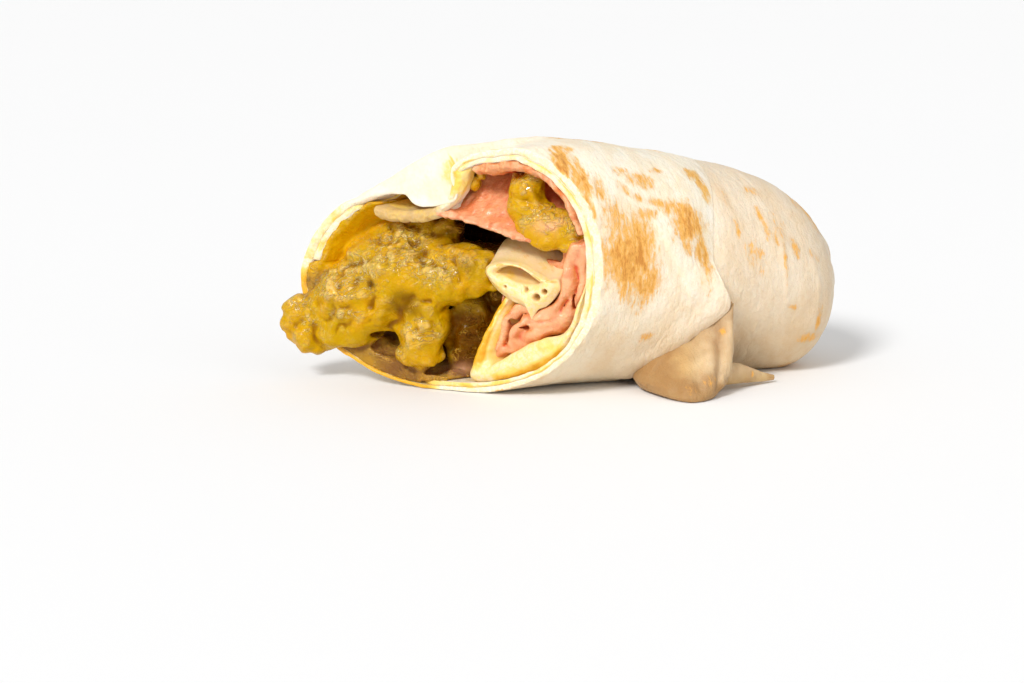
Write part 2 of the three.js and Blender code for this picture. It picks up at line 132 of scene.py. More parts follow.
def through(rows, key, column=1):
    """A smooth curve through rows of (key, value...)."""
    table = np.array([(row[0], row[column]) for row in rows], float)
    at, value = table.T
    slope = np.zeros(len(at))
    slope[1:-1] = (value[2:] - value[:-2]) / (at[2:] - at[:-2])
    i = np.clip(np.searchsorted(at, key, side="right") - 1, 0, len(at) - 2)
    width = at[i + 1] - at[i]
    t = np.clip((key - at[i]) / width, 0, 1)
    rise = (2 * t**3 - 3 * t**2 + 1) * value[i] + (t**3 - 2 * t**2 + t) * slope[i] * width
    return rise + (3 * t**2 - 2 * t**3) * value[i + 1] + (t**3 - t**2) * slope[i + 1] * width


def table_of(seed):
    """A shuffled table and 256 unit directions, for the noise."""
    draw = np.random.default_rng(seed)
    ways = draw.normal(size=(256, 3))
    return draw.permutation(256), ways / np.linalg.norm(ways, axis=1, keepdims=True)


def noise(points, size, seed):
    """Smooth uneven values of about -1 to 1, in bumps as wide as size."""
    mixed, ways = table_of(seed)
    place = np.asarray(points, float) / size + 7.31 * seed
    low = np.floor(place)
    part = place - low
    ease = part**3 * (part * (part * 6 - 15) + 10)
    low = low.astype(int)
    total = 0
    for corner in itertools.product((0, 1), repeat=3):
        x, y, z = np.moveaxis((low + corner) & 255, -1, 0)
        way = ways[mixed[(mixed[(mixed[x] + y) & 255] + z) & 255]]
        weight = np.prod(np.where(corner, ease, 1 - ease), axis=-1)
        total = total + weight * ((part - corner) * way).sum(-1)
    return 1.6 * total


def rough(points, size, seed, octaves=3):
    """Noise with finer noise on it."""
    return sum(noise(points, size / 2**i, seed + i) / 2**i for i in range(octaves)) / 1.6


def ridges(points, size, seed):
    """0 to 1, with narrow ridges of 1."""
    return 1 - np.clip(2.2 * np.abs(noise(points, size, seed)), 0, 1)


def crumple(places, size, seed):
    """Rounded bumps with creases between them."""
    return 2 * np.hypot(noise(places, size, seed), 0.09) - 0.55


# ---------------------------------------------------------------- places on the roll


def taper(x):
    """0 at the cut and 1 at the folded end."""
    return np.clip((x - TAPER_X[0]) / (TAPER_X[1] - TAPER_X[0]), 0, 1)


def width_at(x):
    """The roll's width there, as a share of that at the cut."""
    return 1 - NARROWER * taper(x) ** 1.5


def height_at(x):
    """The roll's height there, as a share of that at the cut."""
    return 1 - LOWER * taper(x) ** 1.2


def centre_y(x):
    """Where the bent roll's middle runs."""
    return AXIS_Y - BEND * taper(x) ** 1.5


def in_cut(p, q, z):
    """The place of a point of the cut, q behind it."""
    p, q, z = np.broadcast_arrays(p, q, z)
    return np.stack([p * COS + q * SIN, -p * SIN + q * COS, z], -1)


def cut_place(points):
    """The p, q and z of points."""
    x, y, z = np.moveaxis(points, -1, 0)
    return x * COS - y * SIN, x * SIN + y * COS, z


def plane_x(y, q):
    """Distance along the roll of the plane that lies q behind the cut."""
    return (q - COS * y) / SIN


def section(x, angle, inside):
    """The y and z of the roll's surface, or of one that much further in."""
    bumps = EGG[0] * np.sin(2 * angle) + EGG[1] * np.cos(3 * angle) + EGG[2] * np.sin(3 * angle)
    radius = RADIUS * (1 + bumps * (1 - smooth(x, *EGG_FADE))) - inside
    e = np.clip((x - (END_X - END_ROUND - inside)) / END_ROUND, 0, 1)
    low = smooth(-np.sin(angle), -0.2, 0.6)
    blunt, root = (lerp(END_TOP[i], END_BOTTOM[i], low) for i in (0, 1))
    cap = (1 - e**blunt) ** (1 / root)
    tall = radius * height_at(x) * cap * np.sin(angle)
    z = AXIS_Z * height_at(x) * (1 - END_DROP * e) + tall - SAG * taper(x) * low * cap
    return centre_y(x) - radius * width_at(x) * cap * np.cos(angle), z


def degrees(angle):
    """Radians as degrees from -180 to 180."""
    return (np.degrees(angle) + 180) % 360 - 180


def wall_at(angle):
    """Thickness of both turns together at the cut."""
    return through(WALL, degrees(angle))


def notch_rows():
    """How far the notch moves the outside and the inside of the cut edge, by angle."""
    rows = []
    for angle, *places in NOTCH:
        moved = [0.0] * 4
        if any(places):
            a = np.radians(float(angle))
            for i, inside in enumerate((0.0, float(wall_at(a)))):
                y, z = section(places[2 * i] * COS, a, inside)
                moved[2 * i], moved[2 * i + 1] = places[2 * i] + y / SIN, places[2 * i + 1] - z
        rows.append((angle, *moved))
    return rows


NOTCH_ROWS = notch_rows()


def curled(points):
    """Draws in and lifts the lower edge of the folded end."""
    x, y, z = np.moveaxis(points, -1, 0)
    new_x = x - CURL_IN * smooth(x, 70, 93) * (1 - smooth(z, 4, 24))
    new_z = z + CURL_UP * smooth(x, 62, 90) * (1 - smooth(z, 2, 24))
    return np.stack([new_x, y, new_z], -1)


def roll_point(angle, along, inside, floor=0.0):
    """Points of the roll: along gives the distance along it from y."""
    y, z = section(0 * angle, angle, inside)
    for _ in range(5):
        x = along(y)
        y, z = section(x, angle, inside)
    points = np.stack([x, y, z], -1)
    reach = lerp(*NOTCH_REACH, smooth(degrees(angle), 84, 100))
    fade = hump(np.maximum(x * SIN + y * COS, 0) / reach)
    share = inside / wall_at(angle)
    moved = [fade * through(NOTCH_ROWS, degrees(angle), column) for column in (1, 2, 3, 4)]
    points = points + in_cut(lerp(moved[0], moved[2], share), 0, lerp(moved[1], moved[3], share))
    points = curled(points)
    points[..., 2] = np.maximum(points[..., 2], floor)
    return points


# ---------------------------------------------------------------- meshes


def grid_faces(rows, columns, closed_rows=False):
    """Faces between rows of points that close round."""
    r = np.arange(rows if closed_rows else rows - 1)[:, None]
    c = np.arange(columns)[None, :]
    above, beside = (r + 1) % rows, (c + 1) % columns
    corners = [r * columns + c, r * columns + beside, above * columns + beside, above * columns + c]
    return np.stack([np.broadcast_to(k, (len(r), columns)) for k in corners], -1).reshape(-1, 4)


def box_shell(counts, ring=False):
    """Lattice places on a box's surface, and the faces between them. A ring closes along its first axis."""
    index = np.arange(np.prod(counts)).reshape(counts)
    if ring:
        index = np.concatenate([index, index[:1]])
    sides = [(index[:, 0], False), (index[:, -1], True), (index[..., 0], True), (index[..., -1], False)]
    if not ring:
        sides += [(index[0], True), (index[-1], False)]
    faces = []
    for side, turned in sides:
        quads = np.stack([side[:-1, :-1], side[1:, :-1], side[1:, 1:], side[:-1, 1:]], -1).reshape(-1, 4)
        faces.append(quads[:, ::-1] if turned else quads)
    used, faces = np.unique(np.concatenate(faces), return_inverse=True)
    return np.stack(np.unravel_index(used, counts), -1), faces.reshape(-1, 4)


def facing_out(points, faces):
    """The faces of a closed body, turned round if they enclose a negative volume."""
    a, b, c, d = (points[[face[min(i, len(face) - 1)] for face in faces]] for i in range(4))
    volume = (a * np.cross(b, c)).sum() + (a * np.cross(c, d)).sum()
    return faces if volume > 0 else [face[::-1] for face in faces]


def mesh_of(name, points, faces):
    """A mesh in the row frame, in metres."""
    mesh = bpy.data.meshes.new(name)
    rows = (np.asarray(points) - REST) * MM
    mesh.from_pydata(rows.tolist(), [], [list(map(int, f)) for f in faces])
    mesh.update()
    return mesh


def points_of(mesh):
    """A mesh's points, in millimetres from the cut's lowest point."""
    flat = np.empty(len(mesh.vertices) * 3, np.float32)
    mesh.vertices.foreach_get("co", flat)
    return flat.reshape(-1, 3).astype(float) / MM + REST


def set_points(mesh, points):
    """Moves a mesh's points, given in millimetres from the cut's lowest point."""
    mesh.vertices.foreach_set("co", ((points - REST) * MM).astype(np.float32).ravel())
    mesh.update()


def normals_of(mesh):
    """The outward direction at each point of a mesh."""
    flat = np.empty(len(mesh.vertices) * 3, np.float32)
    mesh.vertex_normals.foreach_get("vector", flat)
    return flat.reshape(-1, 3).astype(float)


def paint(mesh, **values):
    """Stores values for each vertex, kept between 0 and 1, which the materials read by name."""
    for name, value in values.items():
        layer = mesh.attributes.new(name, "FLOAT", "POINT")
        full = np.broadcast_to(np.clip(value, 0, 1), (len(mesh.vertices),))
        layer.data.foreach_set("value", np.ascontiguousarray(full, np.float32))


def surface_net(value, low, cell):
    """Points and quads where a grid of distances crosses zero."""
    spans = np.array(value.shape) - 1
    corners = list(itertools.product((0, 1), repeat=3))
    inside = value < 0
    count = np.zeros(spans, np.int8)
    for i, j, k in corners:
        count += inside[i : i + spans[0], j : j + spans[1], k : k + spans[2]]
    cells = np.argwhere((count > 0) & (count < 8))
    at = {corner: value[tuple((cells + corner).T)] for corner in corners}
    ways = np.eye(3, dtype=int)
    total, crossings = np.zeros((len(cells), 3)), np.zeros((len(cells), 1))
    for a, axis in itertools.product(corners, range(3)):
        if a[axis]:
            continue
        start, end = at[a], at[tuple(np.array(a) + ways[axis])]
        crosses = (start < 0) != (end < 0)
        share = start / np.where(crosses, start - end, 1)
        total += (np.array(a) + share[:, None] * ways[axis]) * crosses[:, None]
        crossings += crosses[:, None]
    index = np.full(spans, -1)
    index[tuple(cells.T)] = np.arange(len(cells))
    faces = []
    for axis in range(3):
        u, v = ways[(axis + 1) % 3], ways[(axis + 2) % 3]
        edges = np.argwhere(inside != np.roll(inside, -1, axis))
        fits = (edges < spans).all(1) & (edges @ (u + v) > 0) & (edges @ u > 0) & (edges @ v > 0)
        edges = edges[fits]
        quads = np.stack([index[tuple(k.T)] for k in (edges - u - v, edges - v, edges, edges - u)], -1)
        faces.append(np.where(inside[tuple(edges.T)][:, None], quads, quads[:, ::-1]))
    return low + cell * (cells + total / crossings), np.concatenate(faces)


def skin_over(field, low, high, cell):
    """A closed skin where a field of (p, q, z) crosses zero, in the box between low and high."""
    axes = [np.arange(a, b + cell, cell) for a, b in zip(low, high)]
    places = np.stack(np.meshgrid(*axes, indexing="ij"), -1)
    value = field(places.reshape(-1, 3)).reshape(places.shape[:3])
    value = np.pad(value[1:-1, 1:-1, 1:-1], 1, constant_values=cell)
    points, faces = surface_net(value, np.array(low, float), cell)
    return in_cut(*points.T), faces


def largest_body(points, faces):
    """The body with the most points, without the crumbs beside it."""
    label = np.arange(len(points))
    a = np.concatenate([faces[:, i] for i in range(4)])
    b = np.concatenate([faces[:, (i + 1) % 4] for i in range(4)])
    while True:
        low = np.minimum(label[a], label[b])
        spread = label.copy()
        np.minimum.at(spread, a, low)
        np.minimum.at(spread, b, low)
        spread = spread[spread]
        if (spread == label).all():
            break
        label = spread
    kept = label == np.bincount(label).argmax()
    place = np.cumsum(kept) - 1
    return points[kept], place[faces[kept[faces[:, 0]]]]


def cavity(mesh, points, normals, passes=12):
    """How hollow the surface is at each vertex, from its neighbours."""
    edges = np.empty(len(mesh.edges) * 2, np.int32)
    mesh.edges.foreach_get("vertices", edges)
    a, b = edges.reshape(-1, 2).T
    count = np.bincount(a, minlength=len(points)) + np.bincount(b, minlength=len(points))
    soft, smoothed = points.copy(), points.copy()
    for _ in range(passes):
        for k in range(3):
            total = np.bincount(a, soft[b, k], len(points)) + np.bincount(b, soft[a, k], len(points))
            smoothed[:, k] = total / np.maximum(count, 1)
        soft, smoothed = smoothed, soft
    return ((soft - points) * normals).sum(1)


def blobs(places, lumps, blend):
    """Distance outside a soft union of ellipsoids, each given by its middle and its half widths."""
    total = 0
    for lump in lumps:
        away = (places - lump[:3]) / np.array(lump[3:])
        far = np.linalg.norm(away, axis=1)
        slope = np.linalg.norm(away / np.array(lump[3:]), axis=1)
        distance = far * (far - 1) / np.maximum(slope, 1e-6)
        total = total + np.exp(-np.clip(distance, -9, 30) / blend)
    return -blend * np.log(total + 1e-20)


def sheet(places, line, front):
    """Distance outside a layer that runs back from a rounded front edge.

    The edge lies along a line of (p, z, half thickness).
    """
    p, q, z = places.T
    best = np.full(len(places), 1e3)
    for (ap, az, ar), (bp, bz, br) in zip(line[:-1], line[1:]):
        run = np.hypot(bp - ap, bz - az)
        share = np.clip(((p - ap) * (bp - ap) + (z - az) * (bz - az)) / run**2, 0, 1)
        off = np.hypot(p - lerp(ap, bp, share), z - lerp(az, bz, share))
        best = np.minimum(best, np.hypot(off, np.maximum(front - q, 0)) - lerp(ar, br, share))
    return best


def soft_union(a, b, blend):
    """The union of two distances, with a fillet."""
    h = np.clip(0.5 + 0.5 * (b - a) / blend, 0, 1)
    return lerp(b, a, h) - blend * h * (1 - h)


def melted(name, mesh, voxel, smoothing):
    """One closed skin over a mesh of overlapping closed bodies."""
    made = placed(name, mesh)
    remesh = made.modifiers.new("skin", "REMESH")
    remesh.mode = "VOXEL"
    remesh.voxel_size = voxel * MM
    soften = made.modifiers.new("soften", "SMOOTH")
    soften.iterations = smoothing
    soften.factor = 0.5
    result = bpy.data.meshes.new_from_object(made.evaluated_get(bpy.context.evaluated_depsgraph_get()))
    bpy.data.objects.remove(made)
    result.name = name
    return result


def placed(name, data):
    """A new object in the scene."""
    made = bpy.data.objects.new(name, data)
    bpy.context.scene.collection.objects.link(made)
    return made


def joined(parts):
    """Points and faces of several parts as one list."""
    points, faces, first = [], [], 0
    for part_points, part_faces in parts:
        points.append(part_points)
        faces += [[int(i) + first for i in face] for face in part_faces]
        first += len(part_points)
    return np.concatenate(points), faces


def add_piece(mesh, nodes, slot):
    """Puts a finished mesh in the scene in place of its solids, with the material of its slot."""
    material, make = FINISHES[slot]
    mesh.shade_smooth()
    mesh.materials.clear()
    mesh.materials.append(bpy.data.materials.get(material) or make())
    piece = placed(mesh.name, mesh)
    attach(piece, "root")
    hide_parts(*nodes)
    return piece


# ---------------------------------------------------------------- shader helpers


def feed(tree, node, inputs):
    """Gives a node its inputs, each of which is a value or another node's output."""
    for key, value in inputs.items():
        if isinstance(value, bpy.types.NodeSocket):
            tree.links.new(value, node.inputs[key])
        else:
            node.inputs[key].default_value = value


def add_node(tree, kind, inputs=None, **settings):
    """A shader node with its settings and inputs."""
    made = tree.nodes.new("ShaderNode" + kind)
    for key, value in settings.items():
        setattr(made, key, value)
    feed(tree, made, inputs or {})
    return made


def maths(tree, operation, *values, clamp=False):
    """A Math node's result."""
    made = add_node(tree, "Math", dict(enumerate(values)), operation=operation, use_clamp=clamp)
    return made.outputs[0]


def plus(tree, a, b, clamp=False):
    """The sum of two values."""
    return maths(tree, "ADD", a, b, clamp=clamp)


def minus(tree, a, b):
    """The first value less the second."""
    return maths(tree, "SUBTRACT", a, b)


def times(tree, a, b):
    """The product of two values."""
    return maths(tree, "MULTIPLY", a, b)


def ramp(tree, value, low, high, to_low=0.0, to_high=1.0):
    """A soft step between two values."""
    inputs = {"Value": value, "From Min": low, "From Max": high, "To Min": to_low, "To Max": to_high}
    made = add_node(tree, "MapRange", inputs, interpolation_type="SMOOTHSTEP")
    return made.outputs[0]


def mix(tree, share, a, b, blend="MIX"):
    """Mixes two colours by a share that changes over the surface."""
    made = add_node(tree, "Mix", {0: share, 6: a, 7: b}, data_type="RGBA", blend_type=blend)
    return made.outputs[2]


def grain(tree, place, scale, detail=3.0, roughness=0.55, distortion=0.0):
    """Noise of 0 to 1, scale in bumps to the metre."""
    inputs = {
        "Vector": place, "Scale": scale, "Detail": detail, "Roughness": roughness, "Distortion": distortion,
    }
    return add_node(tree, "TexNoise", inputs).outputs["Fac"]


def stretched(tree, place, along, around):
    """Coordinates with another scale along the roll than round it."""
    inputs = {"Vector": place, "Scale": (along, around, around)}
    return add_node(tree, "Mapping", inputs).outputs[0]


def painted(tree, name):
    """The value that a mesh's vertices hold under a name."""
    return add_node(tree, "Attribute", attribute_name=name).outputs["Fac"]


def object_place(tree):
    """The place on the object, in metres."""
    return add_node(tree, "TexCoord").outputs["Object"]


def rgb(colour):
    """A colour with its alpha."""
    return (*colour, 1.0)


def new_group(name, inputs, outputs):
    """An empty shader node group with its sockets, and its input and output nodes."""
    tree = bpy.data.node_groups.new(name, "ShaderNodeTree")
    for socket, kind, value in inputs:
        made = tree.interface.new_socket(socket, in_out="INPUT", socket_type="NodeSocket" + kind)
        made.default_value = value
    for socket, kind in outputs:
        tree.interface.new_socket(socket, in_out="OUTPUT", socket_type="NodeSocket" + kind)
    return tree, tree.nodes.new("NodeGroupInput"), tree.nodes.new("NodeGroupOutput")


def use_group(tree, name, inputs):
    """A node of a shared effect."""
    made = tree.nodes.new("ShaderNodeGroup")
    made.node_tree = bpy.data.node_groups[name]
    feed(tree, made, inputs)
    return made


def new_material(name, values):
    """A material with a Principled shader whose plain values are set on its own sockets."""
    material = bpy.data.materials.new(name)
    material.use_nodes = True
    tree = material.node_tree
    shader = tree.nodes["Principled BSDF"]
    for key, value in values.items():
        shader.inputs[key].default_value = value
    return material, tree, shader


# ---------------------------------------------------------------- shared effects


def make_toast_group():
    """Toast streaks: golden brown scorch marks that run round the roll, where a painted patch allows them."""
    tree, inside, out = new_group(
        "Toast streaks",
        [("Patch", "Float", 0.0), ("Streak Width", "Float", 1.0), ("Raggedness", "Float", 0.6)],
        [("Toasted", "Float"), ("Scorched", "Float")],
    )
    place = object_place(tree)
    width = inside.outputs["Streak Width"]
    fine = grain(tree, stretched(tree, place, 1150, 430), maths(tree, "DIVIDE", 1.0, width), 5.0, 0.66, 0.3)
    broad = grain(tree, stretched(tree, place, 420, 130), 1.0, 3.0, 0.6, 0.3)
    pores = grain(tree, place, 900, 2.0, 0.5)
    uneven = plus(tree, times(tree, fine, 0.62), times(tree, broad, 0.38))
    uneven = minus(tree, uneven, 0.5)
    spread = times(tree, uneven, times(tree, inside.outputs["Raggedness"], 3.2))
    level = plus(tree, inside.outputs["Patch"], spread)
    level = times(tree, level, ramp(tree, inside.outputs["Patch"], 0.02, 0.2))
    level = plus(tree, level, times(tree, minus(tree, pores, 0.5), 0.3))
    feed(tree, out, {"Toasted": ramp(tree, level, 0.22, 0.85), "Scorched": ramp(tree, level, 0.72, 1.25)})


def make_flour_group():
    """Floury skin: pale and warm mottling of baked dough, with fine dry relief."""
    tree, inside, out = new_group(
        "Floury skin",
        [("Pale", "Color", (1, 1, 1, 1)), ("Warm", "Color", (1, 1, 1, 1)), ("Grain Height", "Float", 1.0)],
        [("Color", "Color"), ("Height", "Float"), ("Mottle", "Float")],
    )
    place = object_place(tree)
    clouds = grain(tree, stretched(tree, place, 160, 90), 1.0, 4.0, 0.6, 0.4)
    specks = grain(tree, place, 1100, 3.0, 0.6)
    dust = grain(tree, place, 3800, 2.0, 0.5)
    mottle = ramp(tree, clouds, 0.36, 0.66)
    blotch = times(tree, mottle, 0.75)
    blotch = plus(tree, blotch, times(tree, ramp(tree, specks, 0.45, 0.75), 0.3), clamp=True)
    colour = mix(tree, blotch, inside.outputs["Pale"], inside.outputs["Warm"])
    wrinkle = grain(tree, stretched(tree, place, 700, 240), 1.0, 3.0, 0.55, 0.6)
    height = plus(tree, times(tree, specks, 0.5), times(tree, dust, 0.22))
    height = plus(tree, height, times(tree, wrinkle, 0.9))
    height = times(tree, height, inside.outputs["Grain Height"])
    feed(tree, out, {"Color": colour, "Height": height, "Mottle": mottle})


def make_stain_group():
    """Oil stain: golden oil soaked into dough from the filling, with soft ragged borders."""
    tree, inside, out = new_group(
        "Oil stain",
        [("Patch", "Float", 0.0), ("Color", "Color", (1, 1, 1, 1)), ("Thin", "Color", (1, 1, 1, 1)),
         ("Deep", "Color", (1, 1, 1, 1))],
        [("Color", "Color"), ("Soaked", "Float")],
    )
    place = object_place(tree)
    cloud = grain(tree, place, 330, 4.0, 0.6, 0.6)
    level = plus(tree, inside.outputs["Patch"], times(tree, minus(tree, cloud, 0.5), 0.9))
    level = times(tree, level, ramp(tree, inside.outputs["Patch"], 0.01, 0.15))
    thin = mix(tree, ramp(tree, level, 0.1, 0.55), inside.outputs["Color"], inside.outputs["Thin"])
    deep = mix(tree, ramp(tree, level, 0.5, 1.0), thin, inside.outputs["Deep"])
    feed(tree, out, {"Color": deep, "Soaked": ramp(tree, level, 0.2, 0.8)})


def make_wet_group():
    """Wet relief: crumpled relief of a moist surface, with the thin raised wrinkles and creases of a skin."""
    tree, inside, out = new_group(
        "Wet relief",
        [("Coarse", "Float", 260.0), ("Medium", "Float", 800.0), ("Fine", "Float", 2400.0),
         ("Crumpling", "Float", 1.0), ("Wrinkling", "Float", 0.0)],
        [("Height", "Float"), ("Wrinkles", "Float"), ("Creases", "Float")],
    )
    place = object_place(tree)
    coarse = grain(tree, place, inside.outputs["Coarse"], 2.0, 0.5, 0.8)
    drawn = stretched(tree, place, 0.5, 1.1)
    medium = grain(tree, drawn, inside.outputs["Medium"], 1.5, 0.5, 1.6)
    fine = grain(tree, drawn, inside.outputs["Fine"], 1.5, 0.5, 1.4)
    folds = maths(tree, "ABSOLUTE", minus(tree, medium, 0.5))
    lines = maths(tree, "ABSOLUTE", minus(tree, fine, 0.47))
    wrinkles = ramp(tree, lines, 0.0, 0.06, 1.0, 0.0)
    creases = ramp(tree, folds, 0.0, 0.035, 1.0, 0.0)
    crumpled = plus(tree, times(tree, folds, 2.0), times(tree, fine, 0.3))
    height = plus(tree, coarse, times(tree, crumpled, inside.outputs["Crumpling"]))
    raised = times(tree, wrinkles, inside.outputs["Wrinkling"])
    feed(tree, out, {"Height": plus(tree, height, raised), "Wrinkles": wrinkles, "Creases": creases})


# ---------------------------------------------------------------- materials


def bump(tree, height, strength, distance):
    """A normal from a height, with the distance in millimetres."""
    inputs = {"Height": height, "Strength": strength, "Distance": distance * MM}
    return add_node(tree, "Bump", inputs).outputs[0]


def flour_skin(tree, pale, warm, height):
    """Floury skin of two colours."""
    return use_group(tree, "Floury skin", {"Pale": rgb(pale), "Warm": rgb(warm), "Grain Height": height})


def oil_stain(tree, look, colour):
    """A colour with oil soaked into it where it is painted."""
    inputs = {
        "Patch": painted(tree, "stain"), "Color": colour, "Thin": rgb(look.oil_thin),
        "Deep": rgb(look.oil_deep),
    }
    return use_group(tree, "Oil stain", inputs)


def toast_streaks(tree, width, raggedness):
    """Toast where it is painted."""
    inputs = {"Patch": painted(tree, "toast"), "Streak Width": width, "Raggedness": raggedness}
    return use_group(tree, "Toast streaks", inputs)


def tortilla_material():
    """Outer tortilla: floury skin, toast streaks, oil stains, a crumbly cut face and painted shade."""
    look = bpy.context.scene.burrito_looks
    values = {
        "Specular IOR Level": 0.3, "Subsurface Weight": 0.18, "Subsurface Radius": (1.0, 0.62, 0.36),
        "Subsurface Scale": 2.2 * MM, "Sheen Weight": 0.08, "Sheen Roughness": 0.6,
    }
    material, tree, shader = new_material("Toasted tortilla", values)
    skin = flour_skin(tree, look.tortilla_pale, look.tortilla_warm, 1.0)
    halo = ramp(tree, painted(tree, "toast"), 0.03, 0.7, 0.0, 0.45)
    shaded = mix(tree, halo, skin.outputs["Color"], rgb(look.tortilla_warm), "MULTIPLY")
    place = object_place(tree)
    pores = grain(tree, place, 1500, 3.0, 0.65)
    crumb = mix(tree, ramp(tree, pores, 0.4, 0.62), rgb(look.crumb_hollow), rgb(look.crumb))
    body = mix(tree, painted(tree, "crumb"), shaded, crumb)
    # Painted shade, with the underside's own warmer colour: the under value darkens the lower sides, the
    # pouch and the lip.
    body = mix(tree, painted(tree, "under"), body, rgb(look.tortilla_under_shade), "MULTIPLY")
    # Painted shade: the shade value darkens the pouch, the rear, the outer turn's edge over the pouch and the
    # lip.
    body = mix(tree, painted(tree, "shade"), body, rgb(look.tortilla_shade), "MULTIPLY")
    stain = oil_stain(tree, look, body)
    toast = toast_streaks(tree, 1.0, 1.0)
    browned = mix(tree, times(tree, toast.outputs["Toasted"], 0.92), stain.outputs["Color"], rgb(look.toast))
    browned = mix(tree, times(tree, toast.outputs["Scorched"], 0.85), browned, rgb(look.toast_dark))
    dry = ramp(tree, pores, 0.3, 0.7, 0.52, 0.68)
    glossy = mix(tree, stain.outputs["Soaked"], dry, (0.3, 0.3, 0.3, 1))
    height = plus(tree, skin.outputs["Height"], times(tree, pores, 0.4))
    height = minus(tree, height, times(tree, toast.outputs["Toasted"], 0.25))
    normal = bump(tree, height, 0.8, 0.42)
    feed(tree, shader, {"Base Color": browned, "Roughness": glossy, "Normal": normal})
    return material


def inner_material():
    """Inner tortilla: moist cream dough, yellow where the filling has soaked it, with golden flecks and
    painted shade in its air holes.
    """
    look = bpy.context.scene.burrito_looks
    values = {
        "Specular IOR Level": 0.45, "Subsurface Weight": 0.3, "Subsurface Radius": (1.0, 0.7, 0.3),
        "Subsurface Scale": 2.4 * MM, "Coat Roughness": 0.25, "Coat Weight": 0.25,
    }
    material, tree, shader = new_material("Moist inner tortilla", values)
    skin = flour_skin(tree, look.inner_pale, look.inner_warm, 0.6)
    place = object_place(tree)
    pores = grain(tree, place, 1300, 3.0, 0.6)
    crumb = mix(tree, ramp(tree, pores, 0.38, 0.62), rgb(look.inner_warm), rgb(look.inner_pale))
    body = mix(tree, painted(tree, "crumb"), skin.outputs["Color"], crumb)
    stain = oil_stain(tree, look, body)
    toast = toast_streaks(tree, 0.8, 0.8)
    browned = mix(tree, times(tree, toast.outputs["Toasted"], 0.8), stain.outputs["Color"], rgb(look.toast))
    # Painted shade inside the air holes in the tongue's front.
    dark = mix(tree, painted(tree, "pit"), browned, rgb(look.pit))
    dry = ramp(tree, pores, 0.3, 0.7, 0.32, 0.5)
    height = plus(tree, skin.outputs["Height"], times(tree, pores, 0.5))
    feed(tree, shader, {"Base Color": dark, "Roughness": dry, "Normal": bump(tree, height, 0.5, 0.3)})
    return material


def ham_material():
    """Ham: moist pink slices with fibres and pale cut edges, with painted shade of deeper red in the folds.
    """
    look = bpy.context.scene.burrito_looks
    values = {
        "Specular IOR Level": 0.3, "Subsurface Weight": 0.3, "Subsurface Radius": (1.0, 0.35, 0.2),
        "Subsurface Scale": 1.0 * MM, "Coat Weight": 0.25, "Coat Roughness": 0.12,
    }
    material, tree, shader = new_material("Sliced ham", values)
    place = object_place(tree)
    fibres = grain(tree, stretched(tree, place, 260, 1500), 1.0, 4.0, 0.62, 0.5)
    marbling = grain(tree, place, 210, 4.0, 0.6, 0.7)
    flesh = mix(tree, ramp(tree, marbling, 0.4, 0.6), rgb(look.ham), rgb(look.ham_pale))
    flesh = mix(tree, times(tree, ramp(tree, fibres, 0.42, 0.66), 0.6), flesh, rgb(look.ham_deep))
    flesh = mix(tree, painted(tree, "edge"), flesh, rgb(look.ham_edge))
    flesh = mix(tree, times(tree, painted(tree, "marks"), 0.6), flesh, rgb(look.ham_deep))
    # Painted shade: the shade value darkens the flesh to deep red in folds, hollows and deep behind the cut.
    flesh = mix(tree, painted(tree, "shade"), flesh, rgb(look.ham_shade))
    dry = ramp(tree, fibres, 0.3, 0.7, 0.26, 0.44)
    relief = use_group(tree, "Wet relief", {"Coarse": 300.0, "Medium": 900.0, "Fine": 2600.0})
    height = plus(tree, relief.outputs["Height"], times(tree, fibres, 0.8))
    feed(tree, shader, {"Base Color": flesh, "Roughness": dry, "Normal": bump(tree, height, 0.5, 0.35)})
    return material


